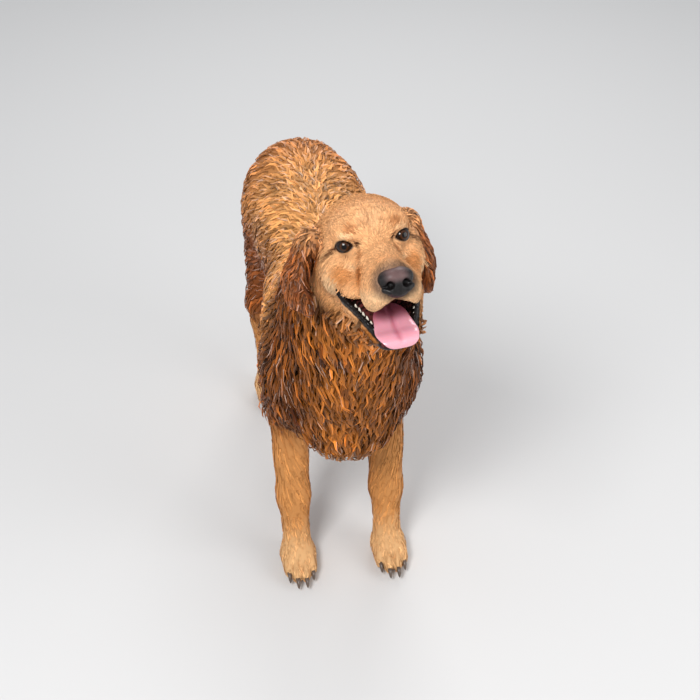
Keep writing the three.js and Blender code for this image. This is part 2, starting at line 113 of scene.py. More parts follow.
def melt(width, *shapes):
    """The shapes as one, with fillets about that wide."""
    def value(points):
        total = np.full(len(points), FAR)
        for shape in shapes:
            room = width + REACH
            near = ((points > shape.low - room) & (points < shape.high + room)).all(axis=1)
            if near.any():
                total[near] = smooth_min(total[near], shape(points[near]), width)
        return total

    return Field(value, np.min([s.low for s in shapes], axis=0), np.max([s.high for s in shapes], axis=0))


def carve(width, shape, tool):
    """The shape with a tool taken out of it, and the edge rounded over."""
    return Field(lambda points: -smooth_min(-shape(points), tool(points), width), shape.low, shape.high)


def smooth_step(low, high, value):
    share = np.clip((value - low) / (high - low), 0, 1)
    return share * share * (3 - 2 * share)


SIDES = {"left": 1, "right": -1}

# %% [markdown]
# ## The head
# The head is described in a frame of its own, with the middle of the skull at the origin and the muzzle
# pointing along -Y, and then turned and lifted. It has more in it than the measured head: eyelids with an
# almond opening over each eye, the black rim of the lower lip, and the groove down the forehead.

# %% Where the head is, and its landmarks
HEAD_AT = np.array([10.0, -176.0, 756.0])
YAW, PITCH, ROLL = 2.9, -20.5, -4.9
HEAD_TURN = np.array(
    Matrix.Rotation(math.radians(YAW), 3, "Z")
    @ Matrix.Rotation(math.radians(PITCH), 3, "X")
    @ Matrix.Rotation(math.radians(ROLL), 3, "Y"))
EYE = np.array([37.5, -52.0, 10.5])
EYE_RADIUS = 12.5
NOSE = np.array([2.5, -158.0, -20.0])
MOUTH_CORNER = np.array([62.0, -53.0, -47.0])


def to_head(points):
    return (points - HEAD_AT) @ HEAD_TURN


def from_head(points):
    return np.asarray(points) @ HEAD_TURN.T + HEAD_AT


def placed(field):
    spans = zip(field.low, field.high)
    corners = np.stack(np.meshgrid(*spans, indexing="ij"), axis=-1).reshape(-1, 3)
    corners = from_head(corners)
    return Field(lambda points: field(to_head(points)), corners.min(axis=0), corners.max(axis=0))


# The scripts' millimetres become the frame's metres by one move: the left eye is where the frame has it.
eye_box = np.array(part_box("eye_left"))
ORIGIN = from_head(EYE) / 1000 - eye_box.mean(axis=0)


def to_frame(points):
    return points / 1000 - ORIGIN


print("the frame's origin, in mm:", (ORIGIN * 1000).round(2))

# %% [markdown]
# ## The mouth and the lids
# A panting dog's lips run back in a long curve and the lower jaw drops away from it. The mouth is a wedge
# between two such curves, hollowed into a roof and a bed. The lids are not modelled as sheets: a ball over
# each eye is cut by an almond, which is where two wide circles overlap. The lower lip's edge is a chain of
# limbs.

# %% The mouth, the eyelids and the lips
UPPER_LIP_DIP = 16.5
UPPER_LIP_SPAN = 70.0
LOWER_LIP_FALL = 0.66


def upper_lip(y):
    along = np.minimum((MOUTH_CORNER[1] - y) / UPPER_LIP_SPAN, 1)
    return MOUTH_CORNER[2] - UPPER_LIP_DIP * np.sin(math.pi / 2 * along)


def lower_lip(y):
    return MOUTH_CORNER[2] - LOWER_LIP_FALL * (MOUTH_CORNER[1] - y)


def mouth_cavity(q):
    x, y, z = q.T
    roof = z - upper_lip(y) - 13 * np.maximum(0, 1 - (x / 27) ** 2)
    bed = lower_lip(y) - z - 9 * np.maximum(0, 1 - (x / 25) ** 2)
    return np.maximum(np.maximum(roof, bed), y - MOUTH_CORNER[1]) * 0.85


def eye_axes(s):
    """Along the lids from the inner corner outward, across them upward, and out of the eye."""
    gaze = np.array([s * 0.45, -0.89, 0.04])
    gaze /= np.linalg.norm(gaze)
    along = np.array([s * 0.9, 0.4, 0.03])
    along -= gaze * (along @ gaze)
    along /= np.linalg.norm(along)
    return along, np.cross(along, gaze) * -s, gaze


LID_REACH = 9.8  # half the length of the opening between the lids
UPPER_LID = 6.3  # how far it reaches up
LOWER_LID = 4.7  # and down


def circle_through_lids(lift):
    """The radius of the circle that meets both corners of the eye and rises that far between them."""
    return (LID_REACH ** 2 + lift ** 2) / (2 * lift)


def lid_opening(s):
    """The almond between the lids: where two wide circles overlap."""
    upper, lower = (circle_through_lids(lift) for lift in (UPPER_LID, LOWER_LID))
    axes = np.array(eye_axes(s)).T
    centre = EYE * (s, 1, 1)

    def value(q):
        u, w, out = ((q - centre) @ axes).T
        under_upper = np.hypot(u, w + upper - UPPER_LID) - upper
        over_lower = np.hypot(u, w - lower + LOWER_LID) - lower
        return np.maximum.reduce([under_upper, over_lower, 2 - out])

    return Field(value, centre - 25, centre + 25)


LOWER_RIM = np.array([(57, -58, -51), (50, -72, -60), (43, -86, -69), (37, -100, -78), (29, -116, -89),
                      (20, -130, -98), (8, -138, -103), (0, -139, -104)], float)


def lower_rim(radius):
    pieces = []
    for s in SIDES.values():
        points = LOWER_RIM * (s * (0.92 if s > 0 else 1), 1, 1)
        pieces += [limb(a, b, radius, radius) for a, b in zip(points, points[1:])]
    return melt(2, *pieces)


def scalloped(rim):
    """The small folds along the edge of the lower lip."""
    return Field(lambda q: rim(q) - 0.7 * np.sin(q[:, 1] * 1.3), rim.low - 1, rim.high + 1)


# %% [markdown]
# ## The skull, the muzzle and the ears
# The head is built up as a sculptor would, from balls and limbs that melt together: skull, brows, cheeks,
# muzzle and jaw. Then the mouth, the sockets, the almonds of the lids and the furrow of the forehead are cut.
# An ear is four flat balls, one below the other, and each may hang a little further out than the last.

# %% The head's field
def solid_head_field():
    """The head before the mouth and the eyes are cut into it."""
    shapes = [
        ball((0, 6, 4), (66, 78, 57)),
        ball((0, -34, 28), (50, 40, 29)),
        melt(14, limb((0, -58, -18), (0, -138, -19), 35, 23), limb((0, -62, -2), (0, -150, -7), 15, 12)),
        melt(14, limb((0, -40, -66), (0, -120, -108), 33, 16),
             ball((0, -128, -110), (18, 18, 13), (15, 0, 0))),
        limb((0, -22, -58), (0, 22, -92), 46, 62),
    ]
    for s in SIDES.values():
        shapes += [
            ball((s * 43, -14, -28), (31, 44, 42)),
            ball((s * 27, -49, 27), (21, 19, 15), (0, 0, s * 20)),
            ball((s * 21, -112, -42), (17, 40, 28), (-3, 0, s * 8)),
            ball((s * 17, -139, -37), (16, 19, 23)),
            ball((s * 37, -60, -48), (19, 27, 20)),
            limb((s * 42, -60, -68), (s * 17, -127, -110), 14, 13),
        ]
    return melt(16, *shapes)


solid_head = solid_head_field()


def head_field():
    whole = carve(5, solid_head, mouth_cavity)
    for s in SIDES.values():
        hollow = ball((s * (EYE[0] + 1), EYE[1] - 15, EYE[2]), (15, 8, 9), (0, 0, s * 18))
        whole = carve(6, whole, hollow)
    lids = [ball(EYE * (s, 1, 1), (14.4, 14.4, 14.4)) for s in SIDES.values()]
    whole = melt(5, whole, *lids, scalloped(lower_rim(4.4)))
    for s in SIDES.values():
        whole = carve(1.2, whole, lid_opening(s))
    furrow = limb((0, -76, 34), (0, -30, 66), 2.5, 2)
    whole = carve(7, whole, furrow)
    return carve(2.5, whole, limb((0, -168, -34), (0, -160, -54), 1.4, 1.4))


# How far each part of an ear, from its root down, hangs out from its plain place, in mm.
EAR_SWING = {1: (-6, -10, -22, -17), -1: (5, 10, 17, 9)}


def ear_field(s):
    parts = [((65, 10, 9), (18, 32, 22), (0, s * 30, 0)),
             ((84, 16, -22), (15, 35, 46), (0, s * -16, 0)),
             ((93, 8, -48), (12, 32, 28), (30, 0, 0)),
             ((88, -20, -62), (10, 22, 22), (34, 0, 0))]
    return melt(16, *[ball((s * (x + swing), y, z), radii, turn)
                      for ((x, y, z), radii, turn), swing in zip(parts, EAR_SWING[s])])


# %% [markdown]
# ## The body
# The trunk is a few big ellipsoids, and each leg is a chain of limbs from the shoulder or hip down to a paw
# with four toes. What the bath would hide, the legs, belly and tail, stands as the breed stands.

# %% The body's field
WITHERS = 590
CHEST_WIDTH = 252
STANCE_FRONT = 80
STANCE_HIND = 76
TOES = [(-24, -34), (-9, -50), (9, -50), (24, -34)]


def paw_field(x, y):
    toes = [ball((x + across * 0.85, y + forward + 6, 19), (12, 24, 20)) for across, forward in TOES]
    return melt(7, ball((x, y, 22), (35, 44, 29)), *toes)


def front_leg_field(s):
    shoulder, elbow, wrist = (s * 70, -28, 430), (s * 82, 44, 300), (s * 81, 14, 128)
    pastern = (s * STANCE_FRONT, -4, 58)
    return melt(22, limb(shoulder, elbow, 54, 42), limb(elbow, wrist, 41, 29), limb(wrist, pastern, 29, 27),
                ball((s * 82, 62, 232), (18, 34, 100), (12, 0, 0)), paw_field(s * STANCE_FRONT, -24))


def hind_leg_field(s):
    hip, knee, hock = (s * 56, 412, 446), (s * 78, 350, 300), (s * 78, 494, 158)
    pastern = (s * STANCE_HIND, 480, 56)
    return melt(24, ball((s * 66, 404, 392), (48, 92, 128), (-14, 0, 0)), limb(hip, knee, 62, 50),
                limb(knee, hock, 47, 26), limb(hock, pastern, 27, 25),
                ball((s * 66, 476, 338), (30, 44, 88), (22, 0, 0)), paw_field(s * STANCE_HIND, 456))


TAIL = [((0, 470, 500), 44), ((0, 526, 482), 34), ((-2, 570, 428), 29), ((-4, 592, 350), 32),
        ((-6, 600, 260), 32), ((-8, 596, 170), 13)]


def body_field():
    trunk = [
        ball((0, 96, 428), (CHEST_WIDTH / 2 - 6, 205, 148)),
        ball((0, 16, WITHERS - 96), (78, 130, 92)),
        ball((0, -64, 400), (94, 84, 118)),
        ball((-6, 318, 463), (104, 170, 103)),
        ball((0, 250, 386), (86, 160, 92)),
        ball((-9, 444, 478), (103, 92, 100)),
    ]
    shoulders = [ball((s * 70, -8, 430), (52, 84, 132), (14, 0, 0)) for s in SIDES.values()]
    neck = [limb((0, 20, 492), (0, -74, 590), 112, 98), limb((0, -74, 590), (6, -132, 690), 98, 82),
            limb((0, -92, 480), (9, -134, 606), 92, 86)]
    legs = [leg(s) for s in SIDES.values() for leg in (front_leg_field, hind_leg_field)]
    tail = melt(20, *[limb(a, b, ra, rb) for (a, ra), (b, rb) in zip(TAIL, TAIL[1:])])
    return melt(40, *trunk, *shoulders, *neck, *legs, tail)


head_shape = head_field()
ears_shape = melt(2, *[placed(ear_field(s)) for s in SIDES.values()])
coat_shape = melt(7, melt(26, placed(head_shape), body_field()), ears_shape)
FACE_CENTRE = np.array([0.0, -55.0, -15.0])


def face_mask(q):
    """1 on the short-haired face, 0 from the back of the skull on."""
    return 1 - smooth_step(112, 150, np.linalg.norm(q - FACE_CENTRE, axis=1))


def ear_mask(points):
    return smooth_step(7, 2, ears_shape(points))


def coat_depth(points):
    """How deep the skin lies under the tips of the coat, in mm."""
    x, y, z = points.T
    depth = np.full(len(points), 10.0)
    depth += (15 - depth) * smooth_step(60, -60, y) * smooth_step(300, 420, z)
    depth += (4 - depth) * smooth_step(300, 190, z)
    depth += (13 - depth) * smooth_step(520, 560, y)
    depth += (1.5 - depth) * face_mask(to_head(points))
    return depth + (3.5 - depth) * ear_mask(points)


skin_shape = Field(lambda points: coat_shape(points) + coat_depth(points), (-150, -400, 0), (150, 660, 850))

# %% [markdown]
# ## From a field to a mesh
# The field is sampled on a lattice and openvdb lays quads where it changes sign. The lattice is finer where
# the head is, because a face needs more points than a flank. Far from the surface nothing is worked out:
# a coarse look finds the blocks of the lattice that the surface passes through.

# %% Meshing a field on a lattice
BLOCK = 4


def fine_steps(low, high, fine_low, fine_high, coarse, fine):
    """Lattice lines from low to high, closer together between fine_low and fine_high."""
    parts = [np.arange(low, fine_low, coarse), np.arange(fine_low, fine_high, fine),
             np.arange(fine_high, high + coarse, coarse)]
    lines = np.concatenate(parts)
    spare = (-(len(lines) - 1)) % BLOCK
    return np.concatenate([lines, lines[-1] + coarse * np.arange(1, spare + 1)])


def sample(field, lines, near):
    """The field on every node of the lattice, exact only within that distance of the surface."""
    coarse = [line[::BLOCK] for line in lines]
    corners = np.stack(np.meshgrid(*coarse, indexing="ij"), axis=-1)
    rough = field(corners.reshape(-1, 3)).reshape(corners.shape[:3])
    value = np.repeat(np.repeat(np.repeat(rough, BLOCK, 0), BLOCK, 1), BLOCK, 2)
    value = value[tuple(slice(len(line)) for line in lines)]
    size = [max(np.diff(line)) for line in coarse]
    close = np.abs(rough) < np.linalg.norm(size) * 0.75 + near
    block = np.zeros([len(line) - 1 for line in coarse], bool)
    for i in (0, 1):
        for j in (0, 1):
            for k in (0, 1):
                block |= close[i:len(coarse[0]) - 1 + i, j:len(coarse[1]) - 1 + j, k:len(coarse[2]) - 1 + k]
    exact = np.zeros(value.shape, bool)
    spread = np.repeat(np.repeat(np.repeat(block, BLOCK, 0), BLOCK, 1), BLOCK, 2)
    exact[:spread.shape[0], :spread.shape[1], :spread.shape[2]] = spread
    index = np.nonzero(exact)
    points = np.stack([line[i] for line, i in zip(lines, index)], axis=-1)
    for start in range(0, len(points), 400_000):
        part = slice(start, start + 400_000)
        value[tuple(i[part] for i in index)] = field(points[part])
    return value


def quads_of(field, lines, near=6.0):
    """The points, in mm, and the quads of a field's surface."""
    value = np.clip(sample(field, lines, near), -near, near).astype(np.float32)
    grid = openvdb.FloatGrid(background=near)
    grid.copyFromArray(value)
    points, quads = grid.convertToQuads(0.0)
    points = [np.interp(points[:, a], np.arange(len(lines[a])), lines[a]) for a in range(3)]
    points = np.stack(points, axis=-1)
    return points, quads[:, ::-1]


def mesh_object(name, points, faces):
    """A new object from points in mm, in the dog's own frame."""
    mesh = bpy.data.meshes.new(name)
    mesh.from_pydata(to_frame(points).tolist(), [], faces.tolist() if hasattr(faces, "tolist") else faces)
    mesh.update()
    mesh.shade_smooth()
    piece = bpy.data.objects.new(name, mesh)
    scene.collection.objects.link(piece)
    return piece


def slope_of(field, points, here, reach=0.4):
    return np.stack([(field(points + reach * axis) - here) / reach for axis in np.eye(3)], axis=-1)


# %% [markdown]
# ## The skin
# One closed skin replaces all the flesh of the measured model. It lies under the coat's tips by the depth of
# the fur: hardly at all on the face, and a finger's width on the chest.

# %% Mesh the skin
lines = [
    fine_steps(-150, 150, -92, 100, 4.0, 2.2),
    fine_steps(-380, 650, -356, -110, 6.0, 1.9),
    fine_steps(-8, 850, 650, 842, 6.0, 1.9),
]
skin_points, skin_quads = quads_of(skin_shape, lines)
skin_points[:, 2] = np.maximum(skin_points[:, 2], 0)
skin = mesh_object("skin", skin_points, skin_quads)
print("skin:", len(skin_points), "points,", len(skin_quads), "quads")

# %% [markdown]
# ## Colour
# A golden retriever is one pigment at many strengths: red-gold on the back and almost cream on the muzzle.
# The dark between the wet locks of the chest and under the ears is painted shade. The same function colours
# the skin and the root of every lock, so the markings and the painted shade run through the coat. It blends
# from colour to colour with masks that are made from places on the body, and a black edge follows the eyelids
# and the lips.

# %% The palette
def linear(red, green, blue):
    """A colour of 0 to 255 as the shader's linear light."""
    c = np.array([red, green, blue]) / 255
    return np.where(c <= 0.04045, c / 12.92, ((c + 0.055) / 1.055) ** 2.4)


BACK = linear(211, 150, 88)
RUMP = linear(180, 116, 64)
FLANK = linear(126, 66, 22)
RUFF = linear(150, 88, 30)
# painted shade: a deep red-brown laid where shade falls between the wet locks of the ruff and under the ears
RUFF_PAINTED_SHADE = linear(72, 28, 3)
THROAT = linear(176, 108, 47)
LEG = linear(200, 137, 77)
PAW = linear(219, 171, 118)
BELLY = linear(206, 155, 101)
FEATHER = linear(205, 148, 89)
EAR = linear(143, 81, 38)
EAR_DEEP = linear(98, 43, 9)
FACE = linear(230, 173, 120)
CROWN = linear(221, 160, 103)
CREAM = linear(241, 204, 159)
CHEEK = linear(203, 134, 76)
BROW = linear(162, 87, 32)
NOSE_SHADE = linear(108, 84, 70)
LINE = linear(84, 46, 24)
RIM = linear(20, 14, 12)
GUM = linear(110, 52, 50)


def blend(colour, other, share):
    return colour + (other - colour) * np.clip(share, 0, 1)[:, None]


def ripple(points, scale, seed):
    """Soft patches from -1 to 1, that many mm across."""
    draw = np.random.default_rng(seed)
    waves = draw.normal(size=(9, 3)) * (4.0 / scale)
    return np.sin(points @ waves.T + draw.uniform(0, 6.3, 9)).mean(axis=1) * 2.2


def spot(q, centre, radii):
    """1 in the middle of a soft spot on both sides of the head, 0 outside it."""
    offset = (np.abs(q[:, 0]) - centre[0], q[:, 1] - centre[1], q[:, 2] - centre[2])
    return 1 - smooth_step(0.35, 1.0, np.sqrt(sum((o / r) ** 2 for o, r in zip(offset, radii))))


# %% [markdown]
# ## Markings
# On a real dog the markings lie in the hair, and where the coat parts the skin beneath follows them. They
# could be painted, but a painting fits one mesh only. Here one function gives the colour at any place, so
# the skin and all the pieces of the coat agree. The rims of the lids and lips are bare, wet and black.

# %% The coat's colour at a place
LOWER_RIM_REACH = 7.0  # how far out of the mouth the black of the lower lip reaches, in mm
UPPER_RIM_REACH = 2.6


def wet_edges(q):
    """1 on the black rims of the lids and lips, where no fur grows."""
    under = q[:, 2] < (upper_lip(q[:, 1]) + lower_lip(q[:, 1])) / 2
    limit = np.where(under, LOWER_RIM_REACH, UPPER_RIM_REACH)
    mouth = smooth_step(0, -1.4, mouth_cavity(q) - limit)
    mouth = np.maximum(mouth, smooth_step(8.2, 6.2, lower_rim_line(q)))
    mouth = np.maximum(mouth, inside_mouth(q))
    lids = np.maximum.reduce([smooth_step(4.6, 2.6, lid_opening(s)(q)) for s in SIDES.values()])
    near_eye = np.minimum.reduce([np.linalg.norm(q - EYE * (s, 1, 1), axis=1) for s in SIDES.values()])
    return mouth * (q[:, 1] > -158), lids * (near_eye < 22)


def inside_mouth(q):
    return smooth_step(-2.0, -4.0, solid_head(q)) * (q[:, 2] < -36) * (q[:, 1] < MOUTH_CORNER[1] + 3)


lower_rim_line = lower_rim(0.01)

# The face's marks: a shade, the middle and the half-widths of a soft spot, and how strongly it is laid.
FACE_MARKS = [
    (CREAM, (34, -62, -16), (16, 16, 9), 0.5),  # under the eye
    (CREAM, (0, -60, 40), (26, 30, 20), 0.3),  # forehead
    (CHEEK, (48, -62, -26), (22, 28, 20), 0.9),
    (CHEEK, (26, -100, -22), (14, 28, 18), 0.9),  # side of the muzzle
    (CHEEK, (36, -98, -28), (18, 34, 22), 0.7),
    (CREAM, (62, -34, -36), (16, 22, 26), 0.6),  # behind the cheek
    (BROW, (29, -69, 33), (14, 12, 10), 0.6),
    (CREAM, (37, -66, 24), (16, 13, 5), 0.6),  # just over the eye
    (CREAM, (61, -43, -44), (14, 18, 16), 0.7),  # corner of the mouth
    (BROW, (12, -72, 38), (8, 12, 9), 0.35),
    (LINE, (24, -69, 13), (9, 9, 7), 1.0),  # inner corner of the eye
    (LINE, (50, -48, 8), (8, 8, 4), 1.0),  # and the line that runs back from the outer one
    (LINE, (56, -42, 3), (8, 8, 5), 0.9),
    (LINE, (62, -36, -2), (8, 8, 5), 0.75),
    (LINE, (68, -25, -8), (8, 10, 6), 0.5),
    (LINE, (40, -62, 0), (14, 9, 6), 0.3),
    (BROW, (24, -81, 0), (8, 12, 14), 0.55),  # beside the bridge
    (BROW, (30, -92, -22), (13, 22, 16), 0.62),
]


def body_colour(points):
    x, y, z = points.T
    patches = ripple(points, 70, 3)
    colour = np.tile(BACK, (len(points), 1)) * (1 + 0.16 * patches)[:, None]
    colour = blend(colour, FLANK, smooth_step(545, 430, z + 18 * patches))
    colour = blend(colour, RUMP, smooth_step(330, 460, y) * smooth_step(430, 520, z))
    ruff = smooth_step(40, -60, y) * smooth_step(250, 330, z)
    nape = smooth_step(10, 75, (y - 20) * 0.79 + (z - 492) * 0.61)
    ruff = ruff * (1 - 0.75 * nape)
    colour = blend(colour, RUFF, ruff)
    # painted shade between the wet locks, in soft patches over the ruff
    colour = blend(colour, RUFF_PAINTED_SHADE, ruff * smooth_step(0.1, 1.2, ripple(points, 38, 5)) * 0.8)
    # painted shade on the sides of the neck, under the ears
    ruff_sides = smooth_step(40, 90, np.abs(x)) * smooth_step(740, 680, z)
    colour = blend(colour, RUFF_PAINTED_SHADE, ruff * ruff_sides * 0.6)
    colour = blend(colour, BELLY, smooth_step(345, 300, z) * smooth_step(95, 60, np.abs(x)) * 0.8)
    colour = blend(colour, LEG, smooth_step(330, 220, z) * (y < 540))
    colour = blend(colour, PAW, smooth_step(110, 30, z))
    return blend(colour, FEATHER, smooth_step(515, 560, y) * smooth_step(460, 340, z))


def head_colour(points, q):
    colour = np.tile(FACE, (len(points), 1)) * (1 + 0.07 * ripple(points, 26, 8))[:, None]
    colour = blend(colour, CROWN, smooth_step(-40, 5, q[:, 1]))
    colour = blend(colour, CREAM, smooth_step(-88, -125, q[:, 1]) * smooth_step(-22, -38, q[:, 2]) * 0.7)
    for shade, place, radii, share in FACE_MARKS:
        colour = blend(colour, shade, spot(q, place, radii) * share)
    from_nose = np.linalg.norm((q - NOSE) / (1.25, 1.0, 1.0), axis=1)
    colour = blend(colour, NOSE_SHADE, smooth_step(32, 19, from_nose) * 0.85)
    whisker_rows = np.sin((q[:, 2] + 0.15 * q[:, 1]) * 0.95) * np.sin(q[:, 1] * 0.85)
    whisker_bed = spot(q, (24, -132, -38), (14, 20, 14))
    colour = blend(colour, LINE, whisker_bed * smooth_step(0.55, 0.9, whisker_rows) * 0.8)
    colour = blend(colour, THROAT, smooth_step(-72, -96, q[:, 2]) * smooth_step(-150, -128, q[:, 1]))
    # painted shade on the sides of the throat, under the jaw and the ears
    throat_sides = smooth_step(-64, -92, q[:, 2]) * smooth_step(38, 72, np.abs(q[:, 0]))
    return blend(colour, RUFF_PAINTED_SHADE, throat_sides * 0.55)


def coat_colour(points):
    """The coat's colour at each point, with the black edges and the gums of the mouth."""
    q = to_head(points)
    colour = blend(body_colour(points), head_colour(points, q), face_mask(q))

    ear = ear_mask(points) * smooth_step(56, 68, np.abs(q[:, 0]))
    colour = blend(colour, EAR, ear)
    colour = blend(colour, EAR_DEEP, ear * smooth_step(0.0, 1.2, ripple(points, 24, 9)) * 0.8)
    colour = blend(colour, CROWN, ear * smooth_step(2, 26, q[:, 2]) * 0.6)

    mouth, lids = wet_edges(q)
    colour = blend(colour, RIM, np.maximum(mouth, lids))
    gums = inside_mouth(q) * smooth_step(4, 8, lower_rim_line(q))
    gums = gums * smooth_step(0.0, 0.8, ripple(q, 9, 14) + 0.4)
    return blend(colour, GUM, gums * 0.75)


tones = coat_colour(np.array([(0.0, 200.0, 520.0), (0.0, -200.0, 420.0)])).round(2)
print("linear tones of the back and of the chest:", *tones)

# %% [markdown]
# ## Materials
# Shader maths is easier to read as expressions than as rows of nodes, so a small class wraps a socket and
# lets Python's operators add the Math nodes.

# %% Shader expressions
class Socket:
    """A value in a shader. Sums and products of sockets add the nodes that work them out."""

    def __init__(self, tree, socket):
        self.tree, self.socket = tree, socket

    def math(self, operation, other, flipped=False):
        values = (other, self) if flipped else (self, other)
        return self.tree.node("ShaderNodeMath", {"operation": operation}, dict(enumerate(values)))

    def __add__(self, other):
        return self.math("ADD", other)

    __radd__ = __add__

    def __mul__(self, other):
        return self.math("MULTIPLY", other)

    __rmul__ = __mul__

    def __sub__(self, other):
        return self.math("SUBTRACT", other)

    def __rsub__(self, other):
        return self.math("SUBTRACT", other, flipped=True)


class Finish:
    """A material of one Principled shader, and the nodes that feed it."""

    def __init__(self, name, **fixed):
        self.material = bpy.data.materials.new(name)
        self.material.use_nodes = True
        self.nodes = self.material.node_tree.nodes
        self.shader = self.nodes["Principled BSDF"]
        for socket, value in fixed.items():
            self.set(self.shader, socket.replace("_", " "), value)

    def set(self, node, key, value):
        if isinstance(value, Socket):
            self.material.node_tree.links.new(value.socket, node.inputs[key])
        else:
            node.inputs[key].default_value = value

    def node(self, kind, settings=None, values=None, output=0):
        made = self.nodes.new(kind)
        for key, value in (settings or {}).items():
            setattr(made, key, value)
        for key, value in (values or {}).items():
            self.set(made, key, value)
        return Socket(self, made.outputs[output])

    def attribute(self, name, output="Color"):
        return self.node("ShaderNodeAttribute", {"attribute_name": name}, output=output)

    def noise(self, scale, detail=3.0, stretch=(1, 1, 1)):
        place = self.node("ShaderNodeTexCoord", output="Object")
        place = self.node("ShaderNodeMapping", values={"Vector": place, "Scale": stretch})
        return self.node("ShaderNodeTexNoise", values={"Vector": place, "Scale": scale, "Detail": detail})

    def mix(self, share, a, b, mode="MIX"):
        return self.node("ShaderNodeMix", {"data_type": "RGBA", "blend_type": mode},
                         {0: share, 6: a, 7: b}, output=2)

    def feed(self, **values):
        for key, value in values.items():
            self.set(self.shader, key.replace("_", " "), value)

    def bump(self, height, distance, strength=1.0):
        self.feed(Normal=self.node("ShaderNodeBump", values={
            "Height": height, "Distance": distance, "Strength": strength}))


def tint(piece, colours, wetness=1.0):
    """Stores a colour and a wetness for each point of a piece, for its material to read."""
    layer = piece.data.color_attributes.new("tint", "FLOAT_COLOR", "POINT")
    values = np.ones((len(colours), 4), np.float32)
    values[:, :3] = np.clip(colours, 0, 1)
    values[:, 3] = wetness
    layer.data.foreach_set("color", values.ravel())


def finish_piece(piece, finish):
    piece.data.materials.append(finish.material)
    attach(piece, "root")
    return piece


# %% [markdown]
# ## The skin's finish
# The skin shows only where the fur is thin, and at the black lids, lips and gums, which are wet. One material
# serves both: the colour is read from the points of the mesh, and the wetness stored with it lowers the
# roughness. The skin is a little darker than the fur, as it lies in its shade.

# %% The skin's finish
UNDER_FUR = 0.86  # how much of the coat's brightness the skin keeps
skin_finish = Finish("damp_skin", Specular_IOR_Level=0.25, IOR=1.45)
skin_finish.feed(Base_Color=skin_finish.attribute("tint"),
                 Roughness=0.62 - 0.36 * skin_finish.attribute("tint", "Alpha"))
hair_grain = skin_finish.noise(260, 2.0, (1, 0.3, 0.5))
skin_finish.bump(hair_grain, 0.0012, 0.6)
skin_wetness = np.maximum(*wet_edges(to_head(skin_points)))
tint(skin, coat_colour(skin_points) * UNDER_FUR, skin_wetness)
finish_piece(skin, skin_finish)
flesh = [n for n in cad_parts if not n.startswith(("eye", "claw", "nose", "tongue"))]
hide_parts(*flesh)
print("the skin replaces", len(flesh), "nodes")

# %% [markdown]
# ## Eyes
# A dog's eye shows little but a dark brown iris and a black pupil, under a clear wet front that catches the
# light. One smooth ball carries the colours in rings round its axis, and a glossy clear coat is its water.

# %% Eyes
def ring_ball(segments, rings):
    """Points and faces of a ball of radius 1 whose poles lie on Z."""
    angle = np.arange(segments) * 2 * math.pi / segments
    height = np.arange(1, rings) * math.pi / rings
    out, level = np.sin(height)[:, None], np.cos(height)[:, None]
    ring = np.broadcast_arrays(out * np.cos(angle), out * np.sin(angle), level)
    ring = np.stack(ring, axis=-1).reshape(-1, 3)
    points = np.vstack([ring, [(0, 0, 1), (0, 0, -1)]])
    top, bottom = len(points) - 2, len(points) - 1
    faces = []
    for i in range(rings - 2):
        for j in range(segments):
            k = (j + 1) % segments
            here, below = i * segments, (i + 1) * segments
            faces.append((here + j, below + j, below + k, here + k))
    last = (rings - 2) * segments
    for j in range(segments):
        k = (j + 1) % segments
        faces += [(top, j, k), (bottom, last + k, last + j)]
    return points, faces


eye_finish = Finish("wet_eye", Roughness=0.12, Coat_Weight=0.3, Coat_Roughness=0.02, Specular_IOR_Level=0.15)
eye_finish.feed(Base_Color=eye_finish.attribute("tint"))
IRIS, IRIS_EDGE, PUPIL = linear(58, 32, 14), linear(16, 8, 5), linear(4, 3, 3)
WHITE = linear(34, 22, 18)
EYE_GAP = 0.1  # the visible ball is this much smaller than the measured one, in mm
for side, s in SIDES.items():
    ball_points, faces = ring_ball(48, 40)
    off_axis = np.degrees(np.arccos(ball_points[:, 2]))
    colour = np.tile(PUPIL, (len(ball_points), 1))
    colour = blend(colour, IRIS, smooth_step(15, 19, off_axis))
    colour = blend(colour, IRIS_EDGE, smooth_step(25, 32, off_axis))
    colour = blend(colour, WHITE, smooth_step(36, 42, off_axis))
    gaze = np.array([s * 0.26, -0.95, 0.10])
    turn = np.array(Vector(gaze).to_track_quat("Z", "Y").to_matrix())
    cornea = 1 + 0.045 * smooth_step(44, 20, off_axis)[:, None]
    eye_points = ball_points * cornea @ turn.T * (EYE_RADIUS - EYE_GAP) + EYE * (s, 1, 1)
    eye = mesh_object("eye_" + side + "_wet", from_head(eye_points), faces)
    tint(eye, colour)
    finish_piece(eye, eye_finish)
    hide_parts("eye_" + side)
print("two eyes,", EYE_RADIUS * 2, "mm across")

# %% [markdown]
# ## Nose
# The nose leather is black and pebbled, with comma-shaped nostrils that open forward and slit out to the
# sides, and a groove down the middle. It is a field like the rest, sampled finely.

# %% Nose
def nose_field():
    x, y, z = NOSE
    leather = melt(8, ball((x, y, z + 3), (23, 16, 14)), ball((x, y - 4, z - 7), (18, 13, 15)))
    for s in SIDES.values():
        leather = melt(4, leather, limb((x + s * 6, y - 9, z + 8), (x + s * 16, y - 5, z + 6), 5, 4.5))
        leather = melt(3, leather, limb((x + s * 17, y - 8, z - 8), (x + s * 12, y - 12, z - 11), 4.5, 3.5))
        leather = carve(2.5, leather, ball((x + s * 10, y - 15, z - 2), (4.8, 9, 5.2)))
        leather = carve(2, leather, limb((x + s * 13, y - 13, z - 4), (x + s * 23, y - 4, z - 5), 2.2, 1.0))
    return carve(2, leather, limb((x, y - 19, z), (x, y - 16, z - 24), 1.3, 1.6))


